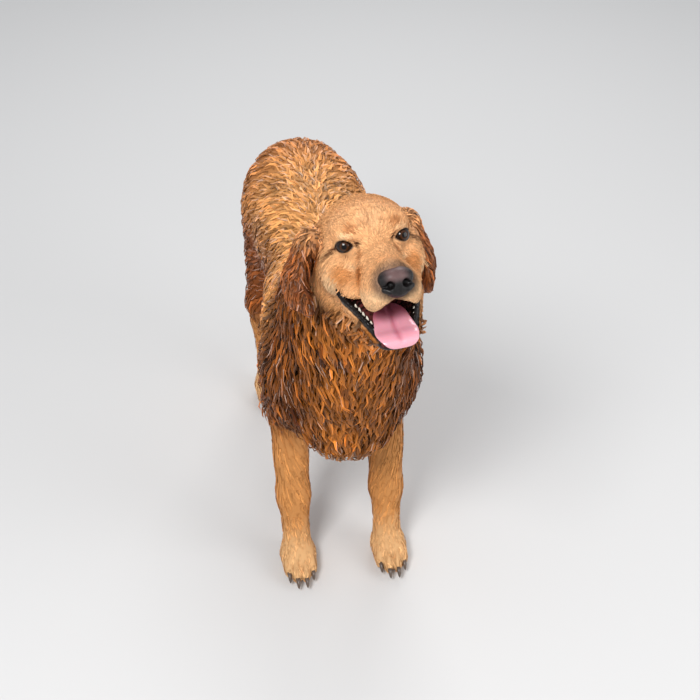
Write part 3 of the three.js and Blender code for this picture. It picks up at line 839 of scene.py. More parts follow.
nose_shape = placed(nose_field())
nose_lines = [fine_steps(low, high, low, high, 1.0, 0.9)
              for low, high in zip(nose_shape.low - 4, nose_shape.high + 4)]
nose_points, nose_quads = quads_of(nose_shape, nose_lines, near=3.0)
nose = mesh_object("nose_leather", nose_points, nose_quads)
nose_finish = Finish("nose_leather", Roughness=0.38, Specular_IOR_Level=0.25, Coat_Weight=0.1,
                     Coat_Roughness=0.2)
nose_q = to_head(nose_points)
# painted highlight: the top of the nose leather is lightened to a pinkish brown, where the light falls on it
nose_top_highlight = smooth_step(-2, 8, nose_q[:, 2] - NOSE[2]) * smooth_step(20, 6, np.abs(nose_q[:, 0] - NOSE[0]))
leather_black, leather_highlight = linear(6, 5, 5), linear(112, 84, 82)
tint(nose, blend(np.tile(leather_black, (len(nose_q), 1)), leather_highlight, nose_top_highlight * 0.9))
pebbles = nose_finish.node("ShaderNodeTexVoronoi", {"feature": "DISTANCE_TO_EDGE"}, {"Scale": 620.0})
nose_blotches = nose_finish.noise(90) * 0.6
nose_finish.feed(Base_Color=nose_finish.mix(nose_blotches, nose_finish.attribute("tint"),
                                            (0.012, 0.009, 0.009, 1)))
nose_finish.bump(pebbles, 0.0004, 0.7)
finish_piece(nose, nose_finish)
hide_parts("nose")
print("nose:", len(nose_points), "points")

# %% [markdown]
# ## Tongue
# The tongue is a ball drawn out along a line: out of the mouth, over the lower lip and down. It is widest
# just past the lip, cups upward at its edges, and has a groove down its middle.

# %% Tongue
TONGUE_LINE = np.array([(0, -72, -73), (-1, -104, -84), (-2, -130, -94), (-2, -147, -98), (-1, -154, -103),
                        (0, -154, -111)], float)


def along_line(points, share):
    """Places on a smooth curve through the points."""
    steps = np.linalg.norm(np.diff(points, axis=0), axis=1)
    knots = np.concatenate([[0], np.cumsum(steps)]) / steps.sum()
    slopes = np.gradient(points, knots, axis=0)
    i = np.clip(np.searchsorted(knots, share, side="right") - 1, 0, len(points) - 2)
    gap = (knots[i + 1] - knots[i])[:, None]
    t = ((share - knots[i]) / gap[:, 0])[:, None]
    place = ((2 * t ** 3 - 3 * t ** 2 + 1) * points[i] + (t ** 3 - 2 * t ** 2 + t) * gap * slopes[i]
             + (3 * t ** 2 - 2 * t ** 3) * points[i + 1] + (t ** 3 - t ** 2) * gap * slopes[i + 1])
    return place


ball_points, tongue_faces = ring_ball(64, 70)
across, back, up = ball_points[:, 0], ball_points[:, 2], ball_points[:, 1]
share = (1 - back) / 2
middle_line = along_line(TONGUE_LINE, share)
a_little_on, a_little_back = (along_line(TONGUE_LINE, np.clip(share + step, 0, 1)) for step in (0.01, -0.01))
ahead = a_little_on - a_little_back
ahead /= np.linalg.norm(ahead, axis=1)[:, None]
over = np.stack([np.zeros(len(ahead)), ahead[:, 2], -ahead[:, 1]], axis=-1)
over /= np.linalg.norm(over, axis=1)[:, None]
full = np.maximum(1 - back * back, 1e-9) ** -0.22
width = (24.5 + 6.5 * smooth_step(0.35, 0.85, share)) * full
groove = 2.2 * np.exp(-(across * full / 0.11) ** 2) * smooth_step(0.97, 0.85, share) * (up > 0)
lift = up * (5.2 - 1.5 * share) * np.minimum(full, 2) + 3.5 * across ** 2 * share - groove
tongue_points = middle_line + over * lift[:, None] + np.stack([across * width, 0 * width, 0 * width], axis=-1)
tongue = mesh_object("tongue_wet", from_head(tongue_points), [f[::-1] for f in tongue_faces])
tongue_colour = np.tile(linear(214, 144, 158), (len(share), 1))
# painted shade: the tongue is darker where it runs back into the mouth
tongue_colour = blend(tongue_colour, linear(168, 84, 100), smooth_step(0.55, 0.2, share))
# painted shade in the groove down its middle
tongue_colour = blend(tongue_colour, linear(186, 98, 116), np.clip(groove / 2.2, 0, 1) * 0.7)
tongue_colour = blend(tongue_colour, linear(228, 164, 176), smooth_step(0.8, 0.98, share) * 0.6)
tint(tongue, tongue_colour)
tongue_finish = Finish("wet_tongue", Roughness=0.3, Specular_IOR_Level=0.6, Coat_Weight=0.5,
                       Coat_Roughness=0.12, Subsurface_Weight=0.15, Subsurface_Scale=0.004)
tongue_finish.feed(Base_Color=tongue_finish.attribute("tint"))
tongue_finish.bump(tongue_finish.noise(900, 1.0), 0.0003, 0.5)
finish_piece(tongue, tongue_finish)
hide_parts("tongue")
print("tongue:", len(tongue_points), "points")

# %% [markdown]
# ## Teeth and claws
# Only the lower teeth show, a row of small pale points behind the black lip. Each tooth and each claw is the
# same thing, a round cone that bends over as it tapers, so one function draws them all.

# %% Bent cones
def bent_cones(name, roots, tips, bends, radii, sides=10, rings=6):
    """A mesh of closed cones from roots to tips, each bowed towards its own bend."""
    points, faces = [], []
    angle = np.arange(sides) * 2 * math.pi / sides
    for root, tip, bend, radius in zip(roots, tips, bends, radii):
        axis = (tip - root) / np.linalg.norm(tip - root)
        side = np.cross(axis, (0.31, 0.2, 0.93))
        side /= np.linalg.norm(side)
        other = np.cross(axis, side)
        first = len(points)
        for i in range(rings):
            t = i / rings
            centre = root + (tip - root) * t + bend * 4 * t * (1 - t)
            r = radius * math.sqrt(1 - t ** 1.7)
            points += [centre + r * (math.cos(a) * side + math.sin(a) * other) for a in angle]
        points.append(tip)
        for i in range(rings - 1):
            for j in range(sides):
                k = (j + 1) % sides
                ring = first + i * sides
                faces.append((ring + j, ring + k, ring + sides + k, ring + sides + j))
        ring = first + (rings - 1) * sides
        faces += [(ring + j, ring + (j + 1) % sides, len(points) - 1) for j in range(sides)]
        faces.append(tuple(first + j for j in reversed(range(sides))))
    return mesh_object(name, np.array(points), faces)


# %% [markdown]
# ## The teeth and the claws in place
# The five teeth that show on each side stand in a row inside the lower lip. A claw leaves each toe low down
# in front and curves to the floor. Both are placed by the sizes that the jaw and the paws were made with.

# %% Teeth
TOOTH_RADIUS = 2.4
ROOT_DEPTH = 8  # how far a tooth's root lies under the lip's line, in mm
TEETH = [(40, -80, 3), (37, -87, 4), (34, -94, 4), (31, -101, 4), (28, -108, 3)]  # across, along, height

tooth_roots, tooth_tips = [], []
for s in SIDES.values():
    for x, y, height in TEETH:
        base = np.array([s * x, y, lower_lip(y) - ROOT_DEPTH])
        tooth_roots.append(from_head(base))
        tooth_tips.append(from_head(base + (s * 1.0, -1, ROOT_DEPTH + height)))
no_bend = [np.zeros(3)] * len(tooth_roots)
teeth = bent_cones("teeth", tooth_roots, tooth_tips, no_bend, [TOOTH_RADIUS] * len(tooth_roots))
teeth_finish = Finish("tooth", Roughness=0.25, Specular_IOR_Level=0.5, Coat_Weight=0.3)
enamel, stain = (0.66, 0.61, 0.52, 1), (0.50, 0.44, 0.34, 1)
teeth_finish.feed(Base_Color=teeth_finish.mix(teeth_finish.noise(150), stain, enamel))
finish_piece(teeth, teeth_finish)
print(len(tooth_roots), "teeth")

# %% Claws
CLAW_RADIUS = 4.0
claw_roots, claw_tips = [], []
for stance, y in ((STANCE_FRONT, -24), (STANCE_HIND, 456)):
    for s in SIDES.values():
        for across_paw, forward in TOES:
            knuckle = np.array([s * stance + across_paw * 0.85, y + forward - 19, 15.0])
            claw_roots.append(knuckle + (0, 9, 6))
            claw_tips.append(knuckle + (0, -6, -6.0))
claw_count = len(claw_roots)
bend_up = np.array([0, -1.5, 2.5])
claws = bent_cones("claws_horn", claw_roots, claw_tips, [bend_up] * claw_count, [CLAW_RADIUS] * claw_count)
claw_finish = Finish("horn", Roughness=0.35, Specular_IOR_Level=0.5)
dark_horn, pale_horn = (0.03, 0.02, 0.016, 1), (0.16, 0.11, 0.08, 1)
horn_streaks = claw_finish.noise(120, 2.0, (1, 3, 1))
claw_finish.feed(Base_Color=claw_finish.mix(horn_streaks, dark_horn, pale_horn))
finish_piece(claws, claw_finish)
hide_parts(*[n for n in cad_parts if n.startswith("claw")])
print(claw_count, "claws")

# %% [markdown]
# ## A flat map of the skin
# Each lock has to know its place on the body in a flat map. A coarse copy of the skin is cut into patches and
# laid flat, and a lock takes the place of the nearest point of that copy.

# %% Unwrap a coarse copy of the skin
MAP_STEP = 12.0  # mm between the lattice lines of the coarse copy
proxy_lines = [np.arange(low, high, MAP_STEP) for low, high in ((-156, 168), (-408, 684), (-12, 864))]
spares = [np.arange(1, (-(len(line) - 1)) % BLOCK + 1) for line in proxy_lines]
proxy_lines = [np.append(line, line[-1] + MAP_STEP * spare) for line, spare in zip(proxy_lines, spares)]
proxy_points, proxy_quads = quads_of(skin_shape, proxy_lines, near=20.0)
proxy_faces = np.vstack([proxy_quads[:, [0, 1, 2]], proxy_quads[:, [0, 2, 3]]])
proxy = mesh_object("flat_map", proxy_points, proxy_faces)
bpy.context.view_layer.objects.active = proxy
proxy.select_set(True)
bpy.ops.object.mode_set(mode="EDIT")
bpy.ops.mesh.select_all(action="SELECT")
bpy.ops.uv.smart_project(angle_limit=math.radians(66), island_margin=0.004)
bpy.ops.object.mode_set(mode="OBJECT")
proxy_uv = np.empty(len(proxy_faces) * 6, np.float32)
proxy.data.uv_layers[0].data.foreach_get("uv", proxy_uv)
proxy_uv = proxy_uv.reshape(-1, 3, 2)
near_skin = BVHTree.FromPolygons(proxy_points.tolist(), proxy_faces.tolist())
bpy.data.objects.remove(proxy)


def flat_place(points):
    """Where points of the skin are on the flat map."""
    hits = [near_skin.find_nearest(point) for point in points.tolist()]
    place = np.array([hit[0] for hit in hits])
    face = np.array([hit[2] for hit in hits])
    a, b, c = (proxy_points[proxy_faces[face, i]] for i in range(3))
    normal = np.cross(b - a, c - a)
    area = (normal * normal).sum(axis=1)
    share_b = (np.cross(place - a, c - a) * normal).sum(axis=1) / area
    share_c = (np.cross(b - a, place - a) * normal).sum(axis=1) / area
    shares = np.stack([1 - share_b - share_c, share_b, share_c], axis=-1)
    return (proxy_uv[face] * shares[:, :, None]).sum(axis=1)


print("the flat map has", len(proxy_faces), "triangles")

# %% [markdown]
# ## The lie of the coat
# Hair grows away from the nose: back over the skull, down the cheeks, along the back to the tail and down
# the legs. The chest's hair runs down and gathers at its middle line. A direction is worked out for any
# point, and is then laid flat on the skin.

# %% The lie of the coat
HAIR_SOURCE = np.array([0.0, -150.0, 12.0])  # the hair of the head grows away from here


def unit(vectors):
    return vectors / np.maximum(np.linalg.norm(vectors, axis=-1, keepdims=True), 1e-9)


def lie(points):
    """The direction in which the hair at each point grows."""
    x, y, z = points.T
    q = to_head(points)
    side = smooth_step(30, 110, np.abs(x))
    way = np.stack([x / 95, 0.75 - 0.1 * side, -0.30 - 0.55 * side], axis=-1)
    down = np.stack([-0.004 * x, 0 * x, 0 * x - 1], axis=-1)
    neck = np.stack([-0.002 * x, 0.42 + 0 * x, 0 * x - 0.9], axis=-1)
    way = blend(way, neck, smooth_step(90, 10, y))
    way = blend(way, down, smooth_step(-20, -110, y))
    way = blend(way, down + (0, 0.15, 0), smooth_step(360, 260, z))
    paws = np.stack([0 * x, 0 * x - 0.7, 0 * x - 0.7], axis=-1)
    way = blend(way, paws, smooth_step(80, 40, z))
    tail = np.stack([0 * x, 0.25 * smooth_step(400, 470, z), 0 * x - 1], axis=-1)
    way = blend(way, tail, smooth_step(500, 540, y))

    down_cheek = -0.7 * smooth_step(46, 66, np.abs(q[:, 0]))
    back = unit(q - HAIR_SOURCE) + np.stack([0 * x, 0 * x, down_cheek], axis=-1)
    for s in SIDES.values():
        from_eye = q - EYE * (s, 1, 1)
        near = smooth_step(34, 14, np.linalg.norm(from_eye, axis=1))
        back = back + 1.2 * near[:, None] * unit(from_eye)
    chin = smooth_step(-45, -75, q[:, 2])
    back = blend(unit(back), np.stack([0.006 * q[:, 0], 0.8 + 0 * x, -0.6 + 0 * x], axis=-1), chin)
    on_head = smooth_step(150, 112, np.linalg.norm(q - FACE_CENTRE, axis=1))
    way = blend(unit(way), unit(back) @ HEAD_TURN.T, on_head)

    ear_way = np.stack([0.0 * x, 0.10 + 0 * x, 0 * x - 1], axis=-1)
    return unit(blend(way, ear_way, ear_mask(points)))


def laid_flat(way, normal):
    return unit(way - normal * (way * normal).sum(axis=-1, keepdims=True))


# %% [markdown]
# ## Locks
# Wet hair draws together into locks. Blender's own hair would be quicker to grow, but only solid mesh can be
# carried to another program. A lock starts at a root on the skin and follows the lie of the coat for its
# length, rising a little and waving. Three to five strands start round its root and close up towards its
# tip. Each strand is a thin three-sided spike, so that it is solid and has a shaded side.

# %% Roots on the skin
EYE_BARE = 13.5  # how far round the middle of an eye no fur grows, in mm
NOSE_BARE = 1.6  # and round the leather of the nose
SOLE_BARE = 4.0  # and up from the floor
MOST_WET = 0.1  # fur grows where the skin is drier than this

corner = skin_points[skin_quads]
quad_normal = np.cross(corner[:, 2] - corner[:, 0], corner[:, 3] - corner[:, 1])
quad_area = np.linalg.norm(quad_normal, axis=1) / 2
quad_centre = corner.mean(axis=1)
point_normal = np.zeros_like(skin_points)
for i in range(4):
    np.add.at(point_normal, skin_quads[:, i], quad_normal)
point_normal = unit(point_normal)

head_of_quad = to_head(quad_centre)
x, y, z = quad_centre.T
FURRED = np.ones(len(quad_centre))
for s in SIDES.values():
    FURRED *= np.linalg.norm(head_of_quad - EYE * (s, 1, 1), axis=1) > EYE_BARE
FURRED *= np.maximum(*wet_edges(head_of_quad)) < MOST_WET
FURRED *= nose_shape(quad_centre) > NOSE_BARE
FURRED *= z > SOLE_BARE
IN_FACE = face_mask(head_of_quad)
IN_EAR = ear_mask(quad_centre) * smooth_step(50, 62, np.abs(head_of_quad[:, 0]))
IN_LEG = smooth_step(330, 290, z) * (y < 545) * (1 - IN_FACE)
IN_TAIL = smooth_step(500, 520, y) * (z < 530)
ON_JAW = smooth_step(-78, -96, head_of_quad[:, 2]) * smooth_step(-142, -120, head_of_quad[:, 1])
IN_RUFF = smooth_step(60, 20, y) * np.maximum(1 - IN_FACE, ON_JAW) * (1 - IN_LEG) * (1 - IN_EAR)


def roots(count, weight, seed):
    """Places and normals, evenly spread over the skin by a weight for each of its quads."""
    draw = np.random.default_rng(seed)
    total = np.cumsum(weight * FURRED * quad_area)
    picks = (np.arange(count) + draw.random(count)) / count * total[-1]
    quad = np.searchsorted(total, picks)
    u, v = draw.random((2, count, 1))
    shares = ((1 - u) * (1 - v), u * (1 - v), u * v, (1 - u) * v)
    place = sum(s * skin_points[skin_quads[quad, i]] for i, s in enumerate(shares))
    normal = sum(s * point_normal[skin_quads[quad, i]] for i, s in enumerate(shares))
    return place, unit(normal), draw


print("the fur covers", round(float((FURRED * quad_area).sum()) / 1e6, 2), "square metres of skin")

# %% [markdown]
# ## The line of a lock and of its strands
# A lock combed by the wet follows the body, so its line is walked over the skin in two or three steps. At
# each joint it is lifted off the skin again, highest in the middle. The strands start beside the root, at
# slightly different places along it, and draw in towards the tip, which gives the pointed look of a wet
# coat.

# %% Lines of locks and strands
TIP_SINKS = 0.8  # a lock's tip lies lower than its middle, by this share


def lock_lines(place, normal, reach, lift, tilt, joints):
    """Each lock's line over the skin, with the way across it and the way out of the skin at every joint."""
    path, sides, normals = [place - normal], [], []
    for joint in range(1, joints + 1):
        way = laid_flat(lie(place), normal)
        side = np.cross(normal, way)
        way = unit(way + tilt * side)
        sides.append(side)
        normals.append(normal)
        place = place + way * (reach / joints)[:, None]
        here = skin_shape(place)
        normal = unit(slope_of(skin_shape, place, here, 1.0) + 0.25 * normal)
        arch = math.sin(math.pi * min(0.62 * joint / joints + 0.1, 0.5))
        arch *= TIP_SINKS if joint == joints else 1
        place = place + normal * (lift * arch - here)[:, None]
        path.append(place)
    sides.append(side)
    normals.append(normal)
    return [np.stack(steps, axis=1) for steps in (path, sides, normals)]


def strand_lines(path, sides, normals, strands, spread, close, draw):
    """Each strand's line: it starts beside its lock's root and draws in towards the tip."""
    locks, joints = len(path), path.shape[1] - 1
    shares = np.linspace(0, 1, joints + 1)
    turn = draw.uniform(0, 2 * math.pi, (locks, strands))
    out = spread * np.sqrt(draw.random((locks, strands))) * (0.6 + 0.4 * draw.random((locks, 1)))
    across, up = out * np.cos(turn), np.abs(out * np.sin(turn)) * 0.5
    gather = 1 - close * shares
    along = draw.uniform(-0.35, 0.1, (locks, strands)) * 0.7
    lines = (path[:, None] + sides[:, None] * (across[:, :, None] * gather)[..., None]
             + normals[:, None] * (up[:, :, None] * gather * shares)[..., None])
    forward = np.diff(path, axis=1)
    forward = np.concatenate([forward, forward[:, -1:]], axis=1)
    slide = (along * joints * 0.4)[:, :, None, None] * (1 - 0.5 * shares)[:, None]
    return lines + forward[:, None] * slide


def strand_points(lines, sides, normals, width, flat, draw):
    """Rings of three points down each strand, and the point of its tip."""
    locks, strands, joints = lines.shape[0], lines.shape[1], lines.shape[2] - 1
    shares = np.linspace(0, 1, joints + 1)[:-1]
    angle = np.arange(3) * 2 * math.pi / 3 + draw.uniform(0, 2, (locks, strands, 1))
    angle = angle[:, :, None, :, None]
    thick = width * draw.uniform(0.7, 1.2, (locks, strands)) / 2
    taper = (1 - shares ** 1.6) * np.minimum(1, 0.75 + shares)
    ring = (sides[:, None, :-1, None] * np.cos(angle) * 1.25
            + normals[:, None, :-1, None] * np.sin(angle) * flat)
    ring = lines[:, :, :-1, None] + ring * (thick[:, :, None] * taper)[..., None, None]
    tips = lines[:, :, -1].reshape(-1, 1, 3)
    return np.concatenate([ring.reshape(locks * strands, joints * 3, 3), tips], axis=1)


def strand_faces(joints):
    """The triangles of one strand: a closed root, three sides between rings, and three up to the tip."""
    faces = [(0, 2, 1)]
    for j in range(joints - 1):
        for i in range(3):
            a, b = j * 3 + i, j * 3 + (i + 1) % 3
            faces += [(a, b, b + 3), (a, b + 3, a + 3)]
    last = (joints - 1) * 3
    faces += [(last + i, last + (i + 1) % 3, last + 3) for i in range(3)]
    return np.array(faces)


print("a strand has", len(strand_faces(2)), "or", len(strand_faces(3)), "triangles")

# %% [markdown]
# ## A strand's colour
# A lock's colour is painted darker at its root, as shade from its neighbours, and lighter at its tip, as
# painted light. No two locks are quite alike, and here and there a painted highlight, as of a thread of
# water, runs along one. The colour is stored on the points of the mesh, so one material serves the whole
# coat.

# %% Colours of strands
PAINTED_GLEAM = linear(236, 206, 190)  # a painted highlight, as of a thread of water along a strand
STRAND_VARIES = 0.12  # how much the strands of a lock differ
BRIGHTEST = 0.95  # no channel goes over this, so that a pale lock keeps its hue


def strand_colours(base, strands, joints, root_painted_shade, tip_painted_light, vary, gleam, draw):
    """A colour for each point of each strand, from its lock's own colour."""
    locks = len(base)
    from_root = np.append(np.repeat(np.linspace(0, 1, joints + 1)[:-1], 3), 1.0)
    # painted shade at the root of each strand, and painted light towards its tip
    level = root_painted_shade + (tip_painted_light - root_painted_shade) * from_root ** 0.8
    shade = np.exp(draw.normal(0, vary, (locks, 1)) + draw.normal(0, STRAND_VARIES, (locks, strands)))
    colour = base[:, None, None] * shade[:, :, None, None] * level[:, None]
    # painted highlights: a few strands are lightened towards the gleam, as wet hair shines
    wet = draw.random((locks, strands)) < gleam
    colour = np.where(wet[:, :, None, None], colour * 0.6 + PAINTED_GLEAM * level[:, None] * 0.4, colour)
    return colour / np.maximum(colour.max(axis=-1, keepdims=True) / BRIGHTEST, 1)


def wet_fur(name, roughness, level):
    made = Finish(name, Roughness=roughness, Specular_IOR_Level=level)
    made.feed(Base_Color=made.attribute("tint"))
    return made


dry_fur = wet_fur("short_fur", 0.65, 0.15)
damp_fur = wet_fur("damp_fur", 0.45, 0.3)
dripping_fur = wet_fur("wet_fur", 0.38, 0.22)
print("three finishes of fur:", dry_fur.material.name, damp_fur.material.name, dripping_fur.material.name)

# %% [markdown]
# ## From strands to a piece
# The strands of a region are joined into one mesh, filled in at once from arrays, because adding them one by
# one would take minutes. Its faces are shaded flat: a strand has only three sides, and smooth shading would
# turn the light at its tip away and leave a dark speck. A second UV map keeps each strand's place on the
# skin.

# %% Growing a piece of the coat
PATCH = 0.003  # the size of a strand's patch on the flat map
WAVE_LENGTH = 44.0  # of a lock's waves, in mm
SWIRL_WIDTH = 34  # of the patches over which locks lean to one side, in mm


def coat_mesh(name, points, index):
    """An object from each strand's points and the corners of all triangles."""
    mesh = bpy.data.meshes.new(name)
    mesh.vertices.add(points.shape[0] * points.shape[1])
    mesh.vertices.foreach_set("co", to_frame(points.reshape(-1, 3)).astype(np.float32).ravel())
    mesh.loops.add(index.size)
    mesh.loops.foreach_set("vertex_index", index.astype(np.int32).ravel())
    mesh.polygons.add(len(index))
    mesh.polygons.foreach_set("loop_start", np.arange(0, index.size, 3, dtype=np.int32))
    mesh.update(calc_edges=True)
    mesh.shade_flat()
    piece = bpy.data.objects.new(name, mesh)
    scene.collection.objects.link(piece)
    return piece


def map_strands(mesh, root, strands, joints, index):
    """The UV maps: the one that is shown, and the strand's patch at its root's place on the flat map."""
    root_uv = np.repeat(flat_place(root), strands, axis=0)
    patch = np.array([(i % 3 / 2, i // 3 / joints) for i in range(joints * 3 + 1)]) * PATCH
    uv = (root_uv[:, None] + patch[None]).reshape(-1, 2)[index.ravel()]
    mesh.uv_layers.new(name="UVMap")
    bake = mesh.uv_layers.new(name="OFBake")
    bake.data.foreach_set("uv", uv.astype(np.float32).ravel())
    mesh.uv_layers["UVMap"].active_render = True
    mesh.uv_layers["UVMap"].active = True


def grow_locks(name, seed, weight, locks, strands, length, width, spread, rise, wave, joints, finish,
               root_painted_shade, tip_painted_light, close=0.85, gleam=0.0, vary=0.1, stray=0.16, swirl=0.0, flat=0.8):
    """A piece of the coat: locks of strands along the lie of the hair. Sizes in mm."""
    root, normal, draw = roots(locks, weight, seed)
    reach = length(root) if callable(length) else np.full(locks, float(length))
    reach = reach * draw.uniform(0.7, 1.25, locks)
    lift = rise(root) if callable(rise) else np.full(locks, float(rise))
    lift = lift * draw.uniform(0.35, 1.1, locks)
    tilt = draw.normal(0, stray, (locks, 1)) + swirl * ripple(root, SWIRL_WIDTH, seed)[:, None]
    path, sides, normals = lock_lines(root, normal, reach, lift, tilt, joints)

    shares = np.linspace(0, 1, joints + 1)
    phase = draw.uniform(0, 2 * math.pi, (locks, 1))
    swing = wave * np.sin(phase + 2 * math.pi * shares * reach[:, None] / WAVE_LENGTH) * shares
    path = path + sides * swing[:, :, None]
    lines = strand_lines(path, sides, normals, strands, spread, close, draw)
    points = strand_points(lines, sides, normals, width, flat, draw)
    colours = strand_colours(coat_colour(root), strands, joints, root_painted_shade, tip_painted_light, vary, gleam, draw)

    count, size = points.shape[:2]
    index = (strand_faces(joints)[None] + (np.arange(count) * size)[:, None, None]).reshape(-1, 3)
    piece = coat_mesh(name, points, index)
    tint(piece, colours.reshape(-1, 3))
    map_strands(piece.data, root, strands, joints, index)
    finish_piece(piece, finish)
    print(name + ":", count, "strands,", len(index), "triangles")


# %% [markdown]
# ## The coat of the face
# The face is short-haired and almost dry. Its hair lies close and flat, hardly longer than a fingernail, and
# grows longer towards the back of the skull. It is finely drawn, as the markings sit in it.

# %% The face: short and fine
on_muzzle = smooth_step(-60, -110, head_of_quad[:, 1])
face_weight = IN_FACE * (1 - IN_EAR) * (1 - 0.8 * ON_JAW) * (1 + 1.2 * on_muzzle)


def face_length(points):
    q = to_head(points)
    span = 7.0 + 20 * smooth_step(-20, 50, q[:, 1]) + 12 * smooth_step(48, 74, np.abs(q[:, 0]))
    span = span + 10 * smooth_step(-60, -85, q[:, 2]) * smooth_step(-125, -100, q[:, 1])
    return span * smooth_step(-170, -105, q[:, 1]) ** 0.5 + 2.0


def face_rise(points):
    return 0.3 + 0.08 * face_length(points)


for i in range(2):
    grow_locks("coat_face_" + str(i + 1), seed=11 + i, weight=face_weight, locks=4300, strands=3,
               length=face_length, width=1.1, spread=1.6, rise=face_rise, wave=0.5, joints=2, finish=dry_fur,
               root_painted_shade=0.74, tip_painted_light=1.14, close=0.6, vary=0.12, stray=0.06, flat=0.45)

# %% [markdown]
# ## The coat of the ears
# An ear's hair is long, soft and darker than the rest, and hangs in strings when it is wet. The lower it
# grows the longer it is, so its length follows the height.

# %% The ears: long and dark, in wet locks
def ear_length(points):
    return 16 + 22 * smooth_step(15, -40, to_head(points)[:, 2])


grow_locks("coat_ears", seed=21, weight=IN_EAR, locks=1300, strands=5, length=ear_length, width=2.15,
           spread=3.0, rise=3.5, wave=2.2, joints=3, finish=damp_fur, root_painted_shade=0.42, tip_painted_light=1.35,
           gleam=0.03, vary=0.36)

# %% [markdown]
# ## The ruff
# The hair of the neck and chest is the longest on a golden retriever, and the wettest here. Its locks part,
# and
# the shade between them is painted on: the roots are much darker than the tips, and the locks differ a good
# deal.

# %% The neck and chest: the longest locks
def ruff_length(points):
    return 28 + 22 * smooth_step(30, -60, points[:, 1])


ruff_weight = IN_RUFF * (1 + 0.8 * smooth_step(-60, -140, y)) * (1 - 0.4 * smooth_step(420, 330, z))
for i in range(2):
    grow_locks("coat_ruff_" + str(i + 1), seed=31 + i, weight=ruff_weight, locks=1550, strands=5,
               length=ruff_length, width=2.75, spread=5.0, rise=11, wave=4.5, joints=3, finish=dripping_fur,
               root_painted_shade=0.3, tip_painted_light=1.5, gleam=0.03, vary=0.45, swirl=0.15)

# %% [markdown]
# ## The coat of the trunk
# The back is wet through, and its locks lean this way and that in patches, as water has run over them. The
# lean comes from the same soft ripple that the colours use.

# %% The back, flanks and belly
def trunk_length(points):
    return 30 + 6 * smooth_step(480, 380, points[:, 2])


trunk_weight = (1 - IN_FACE) * (1 - IN_RUFF) * (1 - IN_LEG) * (1 - IN_TAIL) * (1 - IN_EAR)
trunk_weight *= 1 + 1.0 * smooth_step(440, 520, z)
for i in range(2):
    grow_locks("coat_trunk_" + str(i + 1), seed=41 + i, weight=trunk_weight, locks=1800, strands=5,
               length=trunk_length, width=2.8, spread=4.6, rise=4.5, wave=4.0, joints=3, finish=dripping_fur,
               root_painted_shade=0.62, tip_painted_light=1.3, gleam=0.1, vary=0.28, swirl=0.4, flat=0.6)

# %% [markdown]
# ## The legs and the tail
# The fronts of the legs are smooth, with short hair lying flat, and the backs carry a feather. The tail's
# feather is the longest of all and hangs like a flag.

# %% The legs, with longer hair behind
def leg_length(points):
    x, y, z = points.T
    behind = smooth_step(-5, 25, y - np.where(y > 250, 480, -15))
    return 15 + 8 * smooth_step(40, 120, z) + 18 * behind * smooth_step(70, 140, z)


grow_locks("coat_legs", seed=51, weight=IN_LEG * (1 + smooth_step(90, 50, z)), locks=2600, strands=4,
           length=leg_length, width=3.2, spread=3.2, rise=0.8, wave=0.8, joints=2, finish=dry_fur,
           root_painted_shade=0.85, tip_painted_light=1.1, close=0.25, vary=0.09, stray=0.08, flat=0.3)

# %% The tail's feather
def tail_length(points):
    return 60 + 35 * smooth_step(0, 30, points[:, 1] - 560) * smooth_step(330, 400, points[:, 2])


grow_locks("coat_tail", seed=61, weight=IN_TAIL, locks=800, strands=5, length=tail_length, width=2.6,
           spread=6.0, rise=14, wave=4.0, joints=3, finish=damp_fur, root_painted_shade=0.5, tip_painted_light=1.3,
           vary=0.2, stray=0.22)

# %% [markdown]
# ## Floor, light and camera
# The dog stands on a plain pale floor under soft studio light: a broad light from above and in front, a
# weaker fill, and one from behind that picks out the wet locks. The camera looks down on it from in front.

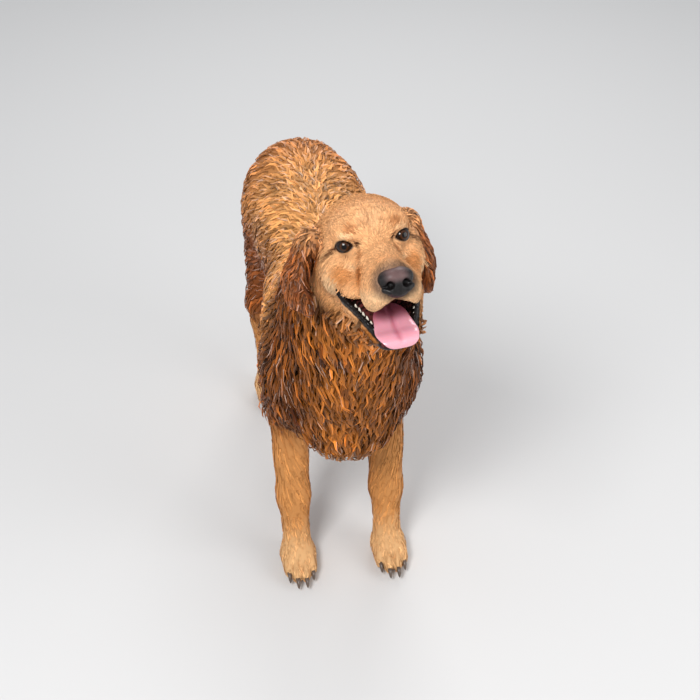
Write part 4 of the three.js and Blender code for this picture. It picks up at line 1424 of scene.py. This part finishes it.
# %% The stage
floor_mesh = bpy.data.meshes.new("floor")
FLOOR_HALF = 6  # metres
floor_corners = [(x * FLOOR_HALF, y * FLOOR_HALF, 0) for x, y in ((-1, -1), (1, -1), (1, 1), (-1, 1))]
floor_mesh.from_pydata(floor_corners, [], [(0, 1, 2, 3)])
floor = bpy.data.objects.new("floor", floor_mesh)
scene.collection.objects.link(floor)
floor_finish = Finish("floor", Base_Color=(0.60, 0.595, 0.59, 1), Roughness=0.8)
floor_mesh.materials.append(floor_finish.material)

world = bpy.data.worlds.new("studio")
world.use_nodes = True
background = world.node_tree.nodes["Background"]
background.inputs["Color"].default_value = (0.80, 0.82, 0.85, 1)
background.inputs["Strength"].default_value = 0.70
scene.world = world
scene.view_settings.view_transform = "Standard"


def soft_light(name, place, power, size):
    lamp = bpy.data.lights.new(name, "AREA")
    lamp.energy, lamp.size = power, size
    light = bpy.data.objects.new(name, lamp)
    light.location = place
    light.rotation_euler = (head_at - Vector(place)).to_track_quat("-Z", "Y").to_euler()
    scene.collection.objects.link(light)


head_at = Vector(HEAD_AT / 1000 - ORIGIN)
soft_light("key", place=(-1.1, -1.9, 2.6), power=80, size=0.9)
soft_light("fill", place=(1.9, -1.3, 1.3), power=24, size=1.6)
soft_light("rim", place=(0.5, 2.2, 2.4), power=30, size=1.2)
print("three soft lights and a pale floor")

# %% [markdown]
# ## The camera
# The camera is placed from the middle of the head, so the framing stays if the model moves. It looks down on
# the dog from in front and a little to one side, with a long lens that keeps the near face from looking big.

# %% The camera
AZIMUTH, ELEVATION = math.radians(-8.9), math.radians(37)
LENS = 71.1  # mm
BACK_OFF, RISE, ASIDE = 1.5858, 1.0083, 0.0214  # from the head to the camera, in metres
level = Vector((-math.sin(AZIMUTH), math.cos(AZIMUTH), 0))
aside = Vector((math.cos(AZIMUTH), math.sin(AZIMUTH), 0))
looking = level * math.cos(ELEVATION) - Vector((0, 0, math.sin(ELEVATION)))
camera = bpy.data.objects.new("camera", bpy.data.cameras.new("camera"))
camera.data.lens = LENS
camera.location = head_at - level * BACK_OFF - aside * ASIDE + Vector((0, 0, RISE))
camera.rotation_euler = looking.to_track_quat("-Z", "Y").to_euler()
scene.collection.objects.link(camera)
scene.camera = camera
print("camera:", LENS, "mm, at", [round(c, 2) for c in camera.location])
